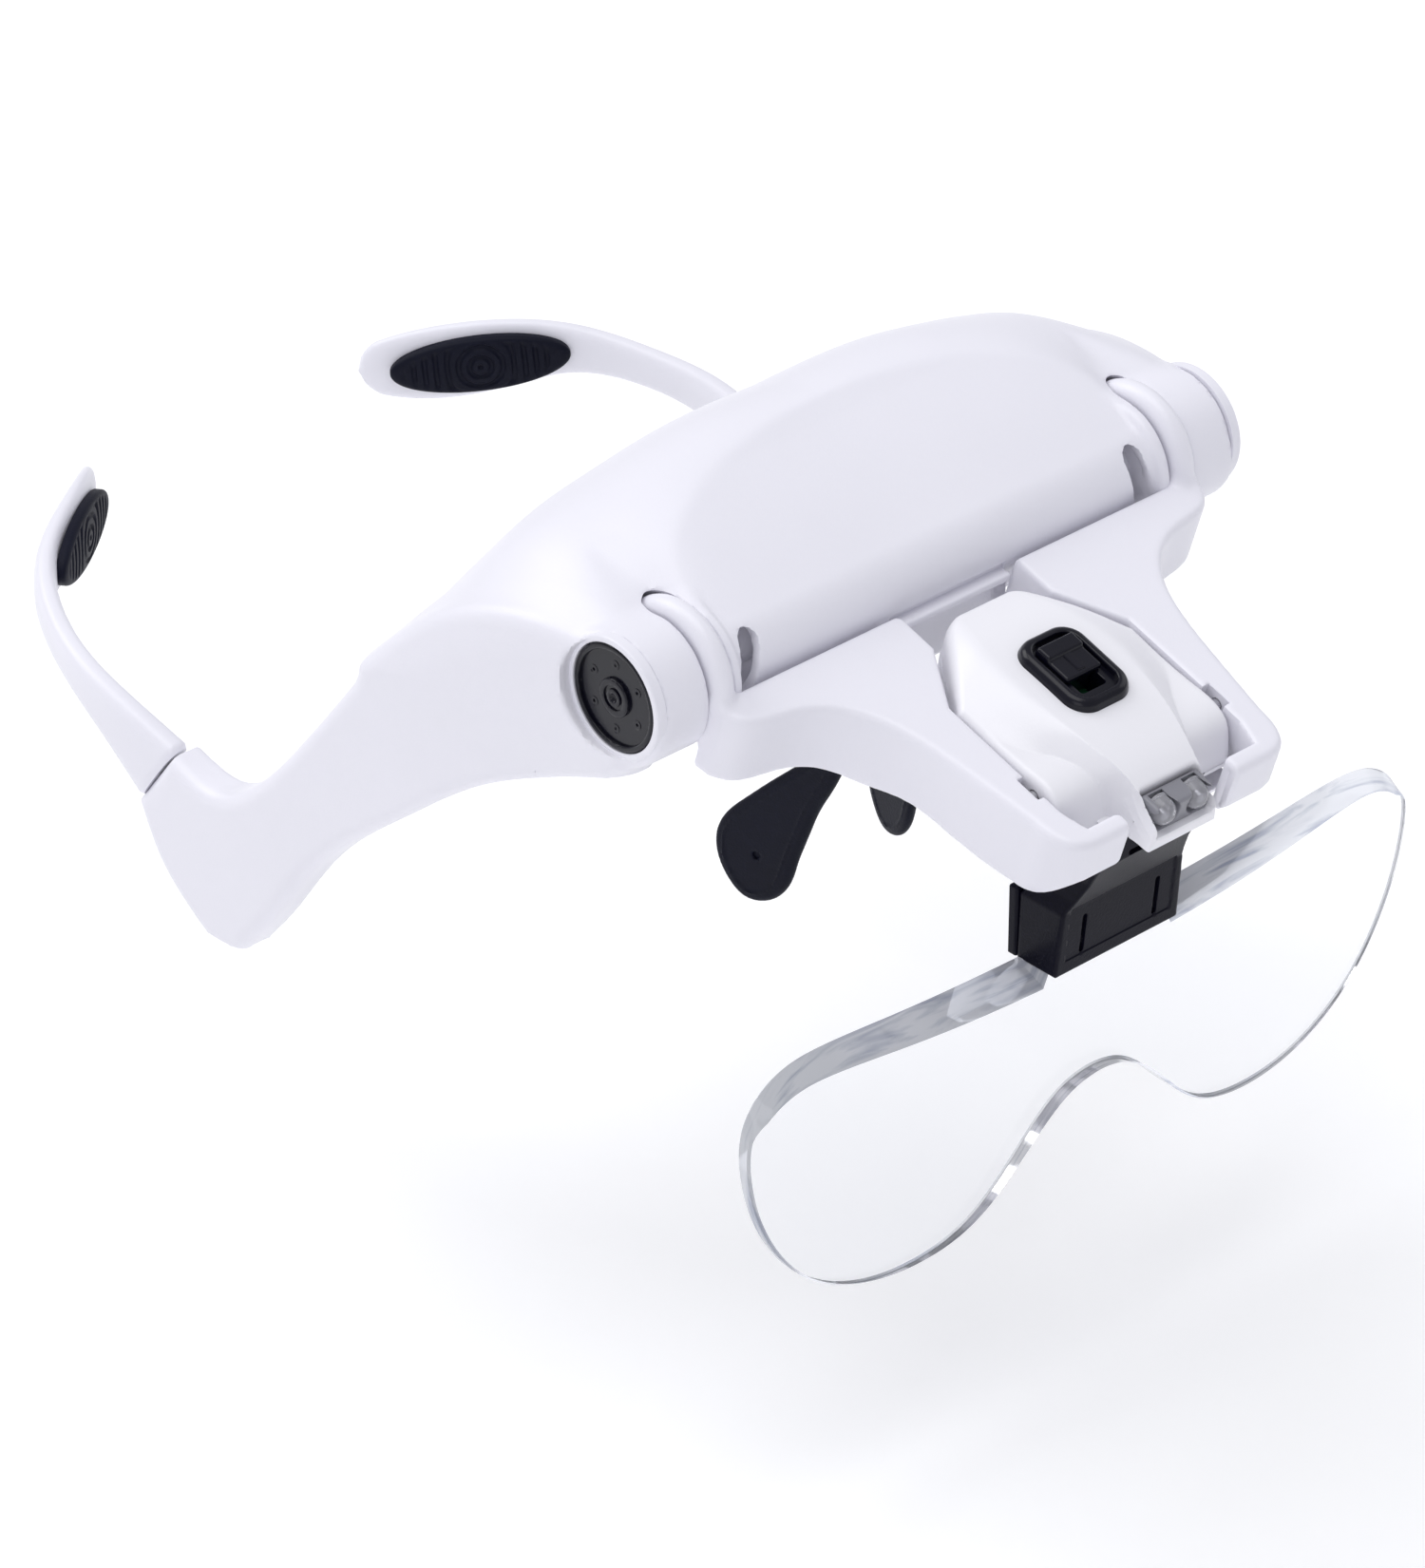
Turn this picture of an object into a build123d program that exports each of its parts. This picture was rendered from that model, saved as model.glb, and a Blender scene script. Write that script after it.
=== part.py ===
"""Head visor magnifier: a head-worn housing with a flip-up bracket, lamp and clip-in lens.

The origin is the middle of the battery door's forehead side, +X is the wearer's left,
-Y is forward and +Z is up. All sizes are in millimetres. Left pieces are made on the +X side,
and right pieces are their mirror images.
"""
from build123d import *
from math import asin, atan2, cos, hypot, radians, sin
import os

os.makedirs("parts", exist_ok=True)

# ------------------------------------------------------------------ driving dimensions
WALL = 2.0                      # thickness of the white mouldings
GAP = 0.4                       # clearance between pieces that move apart
HINGE_Y, HINGE_Z = -46.0, -0.5  # hinge axis of the bracket, along X
BARREL_R = 9.5                  # rounded lower front edge of the housing, about the hinge axis
POD_R, POD_FACE = 13.5, 69.5    # hinge pods at the housing's sides: radius and outer face
SLOT_IN, SLOT_OUT = 52.0, 58.0  # slots that the bracket's ears turn in
SLOT_R, EAR_R = 14.3, 13.2
PIVOT_R, PIVOT_HEAD_R = 2.0, 4.0
HOUSING_BOTTOM = -17.0
CAP_R, CAP_DEPTH = 10.0, 2.0

DECK_TILT = 17.0                # the bracket's top slopes down to the front
DECK_TOP = 2.3                  # top face, measured square to the slope from the hinge axis
ARM_DEPTH, BLOCK_DEPTH = 12.0, 18.0
BRACKET_REAR, BRACKET_FRONT = 10.8, 69.5
NOTCH_HALF = 12.6               # gap in the bracket's front wall

LAMP_TILT_V, LAMP_TILT_W = 54.0, -0.5   # tilt axis of the lamp, in the bracket's sloping frame
LAMP_PIN_R = 1.2
LED_R, LED_X, LED_W = 2.4, 3.9, -1.0
SWITCH_V, SWITCH_W = 39.5, 7.5  # middle of the switch and height of its bezel
BEZEL_SIZE = (12.8, 16.4)

LENS_Y = -88.6                  # flat rear face of the lens
LENS_TOP, LENS_THICK, LENS_FRONT_R = -46.0, 7.4, 760.0
CLIP_HALF, CLIP_BOTTOM, CLIP_TOP = 15.0, -56.0, -42.0

CELL_R, CELL_LENGTH = 5.2, 44.5
CELL_PLACES = [(-8.0, 5.4), (-8.0, -6.6), (-20.0, -6.6)]   # y, z of each cell's axis
DOOR_HALF, DOOR_LOW, DOOR_HIGH = 30.0, -12.5, 9.0
COVER_HALF, COVER_LOW, COVER_HIGH = 46.0, -14.8, 11.0

LEG_DIR = Vector(0, 0.79, 0.61).normalized()
LEG_START = Vector(76, 66.8, -63.6)
TONGUE = (4.0, 8.0, 13.0)       # thickness, height and length of the leg's plug
PAD_LENGTH, PAD_HEIGHT, PAD_THICK = 35.0, 11.6, 1.8

NOSE_PIN_Y, NOSE_PIN_Z, NOSE_PIN_R = -36.0, -21.0, 1.0

tilt = radians(DECK_TILT)
deck = Plane(origin=(0, HINGE_Y, HINGE_Z), x_dir=(1, 0, 0), z_dir=(0, -sin(tilt), cos(tilt)))
hinge_plane = Plane(origin=(0, HINGE_Y, HINGE_Z), x_dir=(0, 1, 0), z_dir=(1, 0, 0))


def finish(part, label):
    """Name a finished piece and write it out."""
    part.label = label
    export_step(part, f"parts/{label}.step")


def finish_pair(part, label):
    """Write a left piece and its mirror image."""
    finish(part, f"left_{label}")
    finish(mirror(part, about=Plane.YZ), f"right_{label}")


# ------------------------------------------------------------------ housing envelope
# Sections of the housing across X: the x of each, and the crest of the front panel, the top
# ridge, the rear top edge and the rear lower edge there, as (y, z).
SECTION_X = [0.0, 34.0, 52.0, 62.0, POD_FACE]
CREST = [(-23.5, 21.0), (-28.5, 20.5), (-39.0, 15.5), (-42.0, 11.5), (-44.0, 10.0)]
RIDGE = [(-10.0, 18.4), (-11.0, 18.4), (-20.0, 17.2), (-24.0, 12.0), (-28.0, 6.0)]
REAR_TOP = [(-1.0, 12.0), (0.0, 9.0), (-2.0, 5.0), (-5.0, 2.0), (-8.0, -3.0)]
REAR_LOW = [(0.0, -8.0), (6.0, -6.0), (15.0, -14.0), (16.0, -16.0), (13.0, -16.5)]
CAVITY_END = 49.0


def across(points, x):
    """Point of a row of section points at any x, between its neighbours."""
    after = next(i for i, place in enumerate(SECTION_X) if place >= x and i > 0)
    share = (x - SECTION_X[after - 1]) / (SECTION_X[after] - SECTION_X[after - 1])
    low, high = points[after - 1], points[after]
    return low[0] + share * (high[0] - low[0]), low[1] + share * (high[1] - low[1])


def barrel_tangent(crest):
    """Point where a line from the crest touches the barrel about the hinge axis."""
    rise, run = crest[1] - HINGE_Z, crest[0] - HINGE_Y
    slope = atan2(rise, run) - asin(BARREL_R / hypot(rise, run))
    return HINGE_Y - BARREL_R * sin(slope), HINGE_Z + BARREL_R * cos(slope)


def housing_section(x, inset=0.0):
    """Side profile of the housing at x, shrunk by inset."""
    crest, ridge, rear, tail = (across(row, x) for row in (CREST, RIDGE, REAR_TOP, REAR_LOW))
    barrel_low = (HINGE_Y, HINGE_Z - BARREL_R)
    with BuildSketch(Plane.YZ.offset(x)) as section:
        with BuildLine():
            ThreePointArc(barrel_low, (HINGE_Y - BARREL_R, HINGE_Z), barrel_tangent(crest))
            Line(barrel_tangent(crest), crest)
            ThreePointArc(crest, ridge, rear)
            Line(rear, tail)
            Line(tail, (tail[0], HOUSING_BOTTOM))
            Line((tail[0], HOUSING_BOTTOM), (HINGE_Y, HOUSING_BOTTOM))
            Line((HINGE_Y, HOUSING_BOTTOM), barrel_low)
        make_face()
        if inset:
            offset(amount=-inset)
    return section.sketch


def housing_body(places, inset=0.0):
    """Housing envelope through the sections at the given places."""
    with BuildPart() as body:
        for x in places:
            add(housing_section(x, inset))
        loft(ruled=True)
    return body.part


# ------------------------------------------------------------------ arms and fins
ARM_TOP = [(-40, 6), (-20, 5), (-4, -1.5), (15, -22), (27.6, -40.5), (40, -54.5), (51.8, -61), (63, -58.6)]
ARM_BOTTOM = [(-46, -14), (-38, -19.6), (-18, -29.3), (6.5, -47.6), (26, -65.4), (36.8, -80.5), (43, -88.5)]
FIN_REAR = [(48, -88.5), (61.5, -79), (70.6, -68.6)]
ARM_THICK = 7.6
ARM_ARC = [(69.5, -62), (75.8, 6), (79.8, 80)]     # outer face in top view, as (x, y)


def inset_row(points, distance):
    """Inner points of a curve, moved square to it by distance, to the right of its run."""
    moved = []
    for before, here, after in zip(points, points[1:], points[2:]):
        run_y, run_z = after[0] - before[0], after[1] - before[1]
        length = hypot(run_y, run_z)
        moved.append((here[0] + distance * run_z / length, here[1] - distance * run_y / length))
    return moved


def arm_side():
    """Side view of one arm with its fin."""
    with BuildSketch(Plane.YZ) as side:
        with BuildLine():
            Spline(*ARM_TOP)
            Line(ARM_TOP[-1], FIN_REAR[-1])
            Spline(*FIN_REAR)
            ThreePointArc(FIN_REAR[0], (45.4, -89.6), ARM_BOTTOM[-1])
            Spline(*ARM_BOTTOM)
            Line(ARM_BOTTOM[0], ARM_TOP[0])
        make_face()
    return side.sketch


def arm_pocket_side(inset):
    """Side view of the hollow inside one arm."""
    top, bottom = inset_row(ARM_TOP[1:-1], inset), inset_row(ARM_BOTTOM[1:], -inset)
    with BuildSketch(Plane.YZ) as side:
        with BuildLine():
            Spline(*top)
            Line(top[-1], bottom[-1])
            Spline(*bottom)
            Line(bottom[0], top[0])
        make_face()
    return side.sketch


def arm_plan(outer_inset, inner_inset):
    """Top view of one arm, between two arcs that follow the side of the head."""
    outer = [(x - outer_inset, y) for x, y in ARM_ARC]
    inner = [(x - ARM_THICK + inner_inset, y) for x, y in ARM_ARC]
    with BuildSketch(Plane.XY.offset(-120)) as plan:
        with BuildLine():
            ThreePointArc(*outer)
            Line(outer[-1], inner[-1])
            ThreePointArc(*inner[::-1])
            Line(inner[0], outer[0])
        make_face()
    return plan.sketch


def arm_solid(side, outer_inset=0.0, inner_inset=0.0):
    """Solid between a side view and the arm's top view."""
    with BuildPart() as arm:
        extrude(side, amount=100)
        extrude(arm_plan(outer_inset, inner_inset), amount=160, mode=Mode.INTERSECT)
    return arm.part


leg_seat = Plane(origin=LEG_START, x_dir=(1, 0, 0), z_dir=LEG_DIR)

# ------------------------------------------------------------------ front shell
with BuildPart() as cavity:
    add(housing_body([0.0, 34.0, 52.0, 62.0, 66.5], WALL))
    # the hinge pods stay solid
    with Locations((CAVITY_END + 15, -50, 0)):
        Box(30, 41, 60, mode=Mode.SUBTRACT)

with BuildPart() as front_half:
    add(housing_body(SECTION_X))
    # hinge pod outside the ear's slot
    with BuildSketch(hinge_plane.offset(SLOT_IN)):
        Circle(POD_R)
    extrude(amount=POD_FACE - SLOT_IN)
    add(arm_solid(arm_side()))
    # bridge between the barrel and the nose rest, seen between the bracket's arms
    with BuildSketch(Plane.YZ):
        with BuildLine():
            Polyline((HINGE_Y - BARREL_R, HINGE_Z - 2), (HINGE_Y - BARREL_R, -12), (HINGE_Y - 4, HOUSING_BOTTOM),
                     (HINGE_Y + 6, HOUSING_BOTTOM), (HINGE_Y + 6, HINGE_Z - 2), close=True)
        make_face()
    extrude(amount=11.0)
    add(cavity.part, mode=Mode.SUBTRACT)
    add(arm_solid(arm_pocket_side(WALL), outer_inset=WALL), mode=Mode.SUBTRACT)
    # slot for the bracket's ear
    with BuildSketch(hinge_plane.offset(SLOT_IN)):
        Circle(SLOT_R)
    extrude(amount=SLOT_OUT - SLOT_IN, mode=Mode.SUBTRACT)
    # recess for the hub cap, seat for the pivot's head and the pivot's bore
    with BuildSketch(hinge_plane.offset(POD_FACE)):
        Circle(CAP_R + 0.2)
    extrude(amount=-CAP_DEPTH - 0.2, mode=Mode.SUBTRACT)
    with BuildSketch(hinge_plane.offset(POD_FACE - CAP_DEPTH - 0.2)):
        Circle(PIVOT_HEAD_R + 0.1)
    extrude(amount=-3.0, mode=Mode.SUBTRACT)
    with BuildSketch(hinge_plane.offset(POD_FACE)):
        Circle(PIVOT_R)
    extrude(amount=-POD_FACE + SLOT_IN - 5, mode=Mode.SUBTRACT)
    # slanted vent slot beside the ear
    with BuildSketch(Plane.XZ.offset(-HINGE_Y + 20)):
        with Locations(Location((47.0, 3.5), 8)):
            SlotOverall(16, 3.4, rotation=90)
    extrude(amount=-22, mode=Mode.SUBTRACT)
    # window for the rear cover
    with Locations((COVER_HALF / 2, 6, (COVER_LOW + COVER_HIGH) / 2)):
        Box(COVER_HALF, 18, COVER_HIGH - COVER_LOW, mode=Mode.SUBTRACT)
    # socket for the leg's plug
    with BuildSketch(leg_seat.offset(1)):
        RectangleRounded(TONGUE[0] + 2 * GAP, TONGUE[1] + 2 * GAP, 1.2)
    extrude(amount=-TONGUE[2] - 2, mode=Mode.SUBTRACT)
    # lug for the nose rest's pin
    with BuildSketch(Plane.YZ.offset(6.0)):
        with BuildLine():
            Polyline((NOSE_PIN_Y - 3, HOUSING_BOTTOM + 1), (NOSE_PIN_Y - 3, NOSE_PIN_Z))
            ThreePointArc((NOSE_PIN_Y - 3, NOSE_PIN_Z), (NOSE_PIN_Y, NOSE_PIN_Z - 3), (NOSE_PIN_Y + 3, NOSE_PIN_Z))
            Polyline((NOSE_PIN_Y + 3, NOSE_PIN_Z), (NOSE_PIN_Y + 3, HOUSING_BOTTOM + 1),
                     (NOSE_PIN_Y - 3, HOUSING_BOTTOM + 1))
        make_face()
    extrude(amount=2.5)
    with BuildSketch(Plane.YZ):
        with Locations((NOSE_PIN_Y, NOSE_PIN_Z)):
            Circle(NOSE_PIN_R)
    extrude(amount=10, mode=Mode.SUBTRACT)

with BuildPart() as front_shell:
    add(front_half.part)
    mirror(front_half.part, about=Plane.YZ)
finish(front_shell.part, "front_shell")

# ------------------------------------------------------------------ rear cover and battery door
with BuildPart() as rear_wall:
    add(housing_body([0.0, 34.0, CAVITY_END]))
    add(housing_body([0.0, 34.0, CAVITY_END], WALL), mode=Mode.SUBTRACT)


def rear_panel(half_width, low, high):
    """Stretch of the rear wall within a window."""
    with BuildPart() as panel:
        add(rear_wall.part)
        mirror(rear_wall.part, about=Plane.YZ)
        with Locations((0, 6, (low + high) / 2)):
            Box(2 * half_width, 18, high - low, mode=Mode.INTERSECT)
    return panel.part


def rear_wall_y(x, z):
    """Outer face of the rear wall at x and z."""
    top, low = across(REAR_TOP, abs(x)), across(REAR_LOW, abs(x))
    share = max(0.0, (z - low[1]) / (top[1] - low[1]))
    return low[0] + share * (top[0] - low[0])


SCREW_PLACES = [(x, z) for x in (-40, 40) for z in (-11.5, -2.0)]
with BuildPart() as rear_cover:
    add(rear_panel(COVER_HALF - 0.1, COVER_LOW + 0.1, COVER_HIGH - 0.1))
    with Locations((0, 6, (DOOR_LOW + DOOR_HIGH) / 2)):
        Box(2 * DOOR_HALF, 18, DOOR_HIGH - DOOR_LOW, mode=Mode.SUBTRACT)
    with Locations(*[(x, rear_wall_y(x, z), z) for x, z in SCREW_PLACES]):
        Cylinder(1.2, 8, rotation=(90, 0, 0), mode=Mode.SUBTRACT)
finish(rear_cover.part, "rear_cover")

with BuildPart() as battery_door:
    add(rear_panel(DOOR_HALF - GAP, DOOR_LOW + GAP, DOOR_HIGH - GAP))
finish(battery_door.part, "battery_door")

# ------------------------------------------------------------------ arm covers, hub caps, pivots
COVER_PLATE = 1.5               # thickness of the plates that close the arms
with BuildPart() as arm_cover:
    add(arm_solid(arm_pocket_side(WALL + 0.3), outer_inset=ARM_THICK - COVER_PLATE))
    add(front_half.part, mode=Mode.SUBTRACT)
finish_pair(arm_cover.part, "arm_cover")

with BuildPart() as hub_cap:
    with BuildSketch(hinge_plane.offset(POD_FACE - CAP_DEPTH)):
        Circle(CAP_R)
    extrude(amount=CAP_DEPTH)
    fillet(edges().filter_by(GeomType.CIRCLE).sort_by(Axis.X)[-1], 0.6)
    with BuildSketch(hinge_plane.offset(POD_FACE)):
        Circle(6.8)
        Circle(3.0, mode=Mode.SUBTRACT)
        with PolarLocations(6.8, 6, start_angle=30):
            Circle(1.5)
    extrude(amount=-0.5, mode=Mode.SUBTRACT)
finish_pair(hub_cap.part, "hub_cap")

with BuildPart() as pivot_pin:
    with BuildSketch(hinge_plane.offset(POD_FACE - CAP_DEPTH - 3.0)):
        Circle(PIVOT_HEAD_R)
    extrude(amount=2.6)
    with BuildSketch(hinge_plane.offset(POD_FACE - CAP_DEPTH - 3.0)):
        Circle(PIVOT_R)
    extrude(amount=-(POD_FACE - CAP_DEPTH - 3.0 - SLOT_IN + 4.0))
    with BuildSketch(hinge_plane.offset(POD_FACE - CAP_DEPTH - 0.4)):
        Rectangle(6.0, 0.9)
        Rectangle(0.9, 6.0)
    extrude(amount=-1.2, mode=Mode.SUBTRACT)
finish_pair(pivot_pin.part, "pivot_pin")

with BuildPart() as cover_screws:
    with Locations(*[(x, rear_wall_y(x, z) - 2.4, z) for x, z in SCREW_PLACES]):
        Cylinder(1.1, 5.0, rotation=(90, 0, 0))
finish(cover_screws.part, "cover_screws")

# ------------------------------------------------------------------ batteries and their contacts
CELL_END = CELL_LENGTH / 2
TRAY_WALL = 1.2
with BuildPart() as battery_cells:
    with BuildSketch(Plane.YZ.offset(-CELL_END + 1)):
        with Locations(*CELL_PLACES):
            Circle(CELL_R)
    extrude(amount=CELL_LENGTH - 1)
    with BuildSketch(Plane.YZ.offset(-CELL_END)):
        with Locations(*CELL_PLACES):
            Circle(1.9)
    extrude(amount=1)
finish(battery_cells.part, "battery_cells")

with BuildPart() as battery_springs:
    with BuildSketch(Plane.YZ.offset(CELL_END + 0.5)):
        with Locations(*CELL_PLACES):
            Circle(3.0)
            Circle(1.8, mode=Mode.SUBTRACT)
    extrude(amount=2.5)
finish(battery_springs.part, "battery_springs")

with BuildPart() as battery_tabs:
    with BuildSketch(Plane.YZ.offset(-CELL_END - 0.2)):
        with Locations(*CELL_PLACES):
            Rectangle(6.0, 6.0)
    extrude(amount=-0.5)
finish(battery_tabs.part, "battery_tabs")

with BuildPart() as battery_tray:
    for x in (-CELL_END - 0.7 - TRAY_WALL / 2, CELL_END + 3.0 + TRAY_WALL / 2):
        with Locations((x, -14.2, -2.0)):
            Box(TRAY_WALL, 22.8, 21.6)
    with Locations((1.15, -14.2, -13.4)):
        Box(CELL_LENGTH + 3.7 + 2 * TRAY_WALL, 22.8, TRAY_WALL)
    fillet(edges().filter_by(Axis.X).group_by(Axis.Z)[0], 0.4)
finish(battery_tray.part, "battery_tray")

# ------------------------------------------------------------------ bracket
# Points of the bracket in its sloping frame: x, and the distance forward of the hinge axis.
ARM_EDGE = [(57.2, 14.6), (54.6, 17.4), (46.0, 19.6), (39.0, 23.2), (34.0, 28.6), (31.6, 36.0)]
BLOCK_EDGE = [(29.6, 46.0), (27.0, 60.0)]
POCKET = [(14.0, 9.0), (14.0, 20.6), (22.0, 33.0), (22.0, 59.0), (19.6, 65.2)]
EAR_IN, EAR_OUT = SLOT_IN + 0.6, SLOT_OUT - 0.8


def forward(points):
    """Points given by their distance forward, in the deck's own y."""
    return [(x, -v) for x, v in points]


def bracket_outline(inset=0.0):
    """Half of the bracket's top outline."""
    edge = [(x - inset, v - 0.6 * inset) for x, v in ARM_EDGE]
    front = BRACKET_FRONT - inset
    with BuildSketch(deck) as outline:
        with BuildLine():
            start = forward([(edge[0][0], BRACKET_REAR + inset)])[0]
            Line(start, forward(edge)[0])
            Spline(*forward(edge), tangents=[(0, -1), (-0.2, -1)])
            block = forward([(x - inset, v) for x, v in BLOCK_EDGE])
            Line(forward(edge)[-1], block[0])
            Line(block[0], block[1])
            ThreePointArc(block[1], (25.2 - inset, -front + 2.6), (21.0 - inset, -front))
            Line((21.0 - inset, -front), (0, -front))
            Line((0, -front), (0, -BRACKET_REAR - inset))
            Line((0, -BRACKET_REAR - inset), start)
        make_face()
    return outline.sketch


with BuildSketch(deck) as pocket_outline:
    with BuildLine():
        Polyline(*forward([(0, 9.0)] + POCKET + [(0, 65.2)]), close=True)
    make_face()

with BuildPart() as bracket_half:
    extrude(bracket_outline(), amount=DECK_TOP)
    extrude(bracket_outline(), amount=-BLOCK_DEPTH)
    # the arms are shallower than the front block, with a curved lower edge
    with BuildSketch(Plane(origin=deck.origin, x_dir=-deck.y_dir, z_dir=(-1, 0, 0))) as below:
        with BuildLine():
            low = [(0, -14.5), (12, -13.0), (22, -ARM_DEPTH), (34, -ARM_DEPTH - 0.6), (52, -BLOCK_DEPTH + 0.6)]
            Spline(*low)
            Polyline(low[-1], (75, -BLOCK_DEPTH + 2.0), (75, -40), (0, -40), low[0])
        make_face()
    extrude(amount=60, both=True, mode=Mode.SUBTRACT)
    # hollow from below, under a top face of full thickness
    extrude(bracket_outline(WALL), amount=-40, mode=Mode.SUBTRACT)
    extrude(bracket_outline(WALL), amount=DECK_TOP - WALL, mode=Mode.SUBTRACT)
    extrude(pocket_outline.sketch, amount=10, mode=Mode.SUBTRACT)
    extrude(pocket_outline.sketch, amount=-30, mode=Mode.SUBTRACT)
    # gap in the front wall for the lamp's nose and the lens clip
    with Locations(deck.location * Location((NOTCH_HALF / 2, -BRACKET_FRONT, -8.0))):
        Box(NOTCH_HALF, 14, 60, mode=Mode.SUBTRACT)
    # walls beside the lamp's pocket
    with BuildSketch(deck.offset(DECK_TOP - WALL)):
        with BuildLine():
            wall = forward([(14.0, 9.0)] + POCKET[1:4])
            Polyline((wall[0][0], -BRACKET_REAR), *wall[1:], (22.0 + WALL, -59), (22.0 + WALL, -33),
                     (14.0 + WALL, -20), (14.0 + WALL, -BRACKET_REAR), close=True)
        make_face()
    extrude(amount=-9.0)
    # cross beam under the lamp, and guides for the lens clip's head
    with Locations(deck.location * Location((14, -46.5, -12.4))):
        Box(28, 17, 2)
    with Locations(deck.location * Location((NOTCH_HALF + 1, -61.5, -13.2))):
        Box(2, 15, 7.6)
    # hinge ear, with its neck and running bore
    with BuildSketch(hinge_plane.offset(EAR_IN)):
        Circle(EAR_R)
    extrude(amount=EAR_OUT - EAR_IN)
    with BuildSketch(hinge_plane.offset(EAR_IN - 3)):
        Circle(PIVOT_R + 0.05)
    extrude(amount=12, mode=Mode.SUBTRACT)
    # pin bores for the lamp
    with Locations(deck.location * Location((22.0, -LAMP_TILT_V, LAMP_TILT_W), (0, 90, 0))):
        Cylinder(LAMP_PIN_R, 3.0, mode=Mode.SUBTRACT)

with BuildPart() as bracket_shell:
    add(bracket_half.part)
    mirror(bracket_half.part, about=Plane.YZ)
finish(bracket_shell.part, "bracket_shell")

with BuildPart() as bracket_cover:
    with BuildSketch(deck.offset(-BLOCK_DEPTH + 0.9)):
        with BuildLine():
            plate = forward([(0, 41), (23.5, 41), (23.5, 62), (20, 66.8), (NOTCH_HALF + 2.2, 66.8)])
            Polyline(*plate, (NOTCH_HALF + 2.2, -53.4), (0, -53.4), close=True)
        make_face()
    extrude(amount=1.5)
    for x, v in ((8.0, 47.0), (19.0, 60.0)):
        with Locations(deck.location * Location((x, -v, -BLOCK_DEPTH + 1.6))):
            Cylinder(0.9, 6, mode=Mode.SUBTRACT)
    mirror(about=Plane.YZ)
finish(bracket_cover.part, "bracket_cover")

with BuildPart() as bracket_screws:
    with Locations(*[deck.location * Location((x, -47.0, -15.4)) for x in (-8, 8)]):
        Cylinder(0.8, 4.0)
    with Locations(*[deck.location * Location((x, -47.0, -17.7)) for x in (-8, 8)]):
        Cylinder(1.7, 1.0)
finish(bracket_screws.part, "bracket_screws")

# ------------------------------------------------------------------ lamp module
LAMP_EDGE = [(7.0, 17.0), (12.4, 21.6), (20.8, 34.2), (20.8, 58.0), (18.6, 64.0), (9.0, 64.8), (8.4, 71.0)]
LAMP_SPLIT, LAMP_TOP, LAMP_FLOOR = -2.0, 2.6, -8.0
NOSE_FRONT = 71.0


def lamp_outline(inset=0.0, nose=NOSE_FRONT):
    """Half of the lamp's outline, seen square to the deck."""
    points = forward([(x - inset, v + (inset if v < 20 else -inset)) for x, v in LAMP_EDGE[:-1]])
    with BuildSketch(deck.offset(LAMP_SPLIT)) as outline:
        with BuildLine():
            Polyline((0, points[0][1]), *points, (LAMP_EDGE[-1][0] - inset, -nose + inset),
                     (0, -nose + inset), close=True)
        make_face()
    return outline.sketch


with BuildPart() as lamp_cover:
    extrude(lamp_outline(), amount=LAMP_TOP - LAMP_SPLIT)
    # raised ridge that carries the switch and narrows towards the nose
    with BuildSketch(deck.offset(LAMP_TOP)):
        with BuildLine():
            Polyline(*forward([(0, 20), (11, 23), (12, 48), (8, 64), (0, 64)]), close=True)
        make_face()
    extrude(amount=3.4, taper=28)
    extrude(lamp_outline(1.6, NOSE_FRONT - 4), amount=LAMP_TOP - LAMP_SPLIT - 1.6, mode=Mode.SUBTRACT)
    mirror(about=Plane.YZ)
    # window for the switch, and the recess for the lamp window
    with Locations(deck.location * Location((0, -SWITCH_V, 4))):
        Box(9.0, 12.6, 14, mode=Mode.SUBTRACT)
    with Locations(deck.location * Location((0, -NOSE_FRONT, -1.0))):
        Box(14.0, 9.0, 5.4, mode=Mode.SUBTRACT)
    with Locations(*[deck.location * Location((side * 20, -LAMP_TILT_V, LAMP_TILT_W), (0, 90, 0))
                     for side in (-1, 1)]):
        Cylinder(LAMP_PIN_R, 8.0, mode=Mode.SUBTRACT)
finish(lamp_cover.part, "lamp_cover")

with BuildPart() as lamp_base:
    extrude(lamp_outline(nose=65.6), amount=LAMP_FLOOR - LAMP_SPLIT)
    extrude(lamp_outline(1.6, 65.6), amount=LAMP_FLOOR - LAMP_SPLIT + 1.6, mode=Mode.SUBTRACT)
    mirror(about=Plane.YZ)
    # the base is shallower over the lens clip
    with Locations(deck.location * Location((0, -62, -9.5))):
        Box(60, 16, 8, mode=Mode.SUBTRACT)
    with Locations(deck.location * Location((0, -59.5, -4.75))):
        Box(24, 10, 1.5)
    with Locations(*[deck.location * Location((side * 20, -LAMP_TILT_V, LAMP_TILT_W), (0, 90, 0))
                     for side in (-1, 1)]):
        Cylinder(LAMP_PIN_R + 0.02, 8.0, mode=Mode.SUBTRACT)
finish(lamp_base.part, "lamp_base")

with BuildPart() as lamp_pins:
    for side in (-1, 1):
        with Locations(deck.location * Location((side * 20.4, -LAMP_TILT_V, LAMP_TILT_W), (0, 90, 0))):
            Cylinder(LAMP_PIN_R - 0.05, 5.2)
finish(lamp_pins.part, "lamp_pins")

with BuildPart() as lamp_window:
    with Locations(deck.location * Location((0, -NOSE_FRONT + 2.0, -1.0))):
        Box(13.8, 4.0, 5.2)
    with Locations(*[deck.location * Location((side * LED_X, -NOSE_FRONT + 2, -1.0), (90, 0, 0))
                     for side in (-1, 1)]):
        Cylinder(LED_R + 0.1, 5, mode=Mode.SUBTRACT)
finish(lamp_window.part, "lamp_window")

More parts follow.
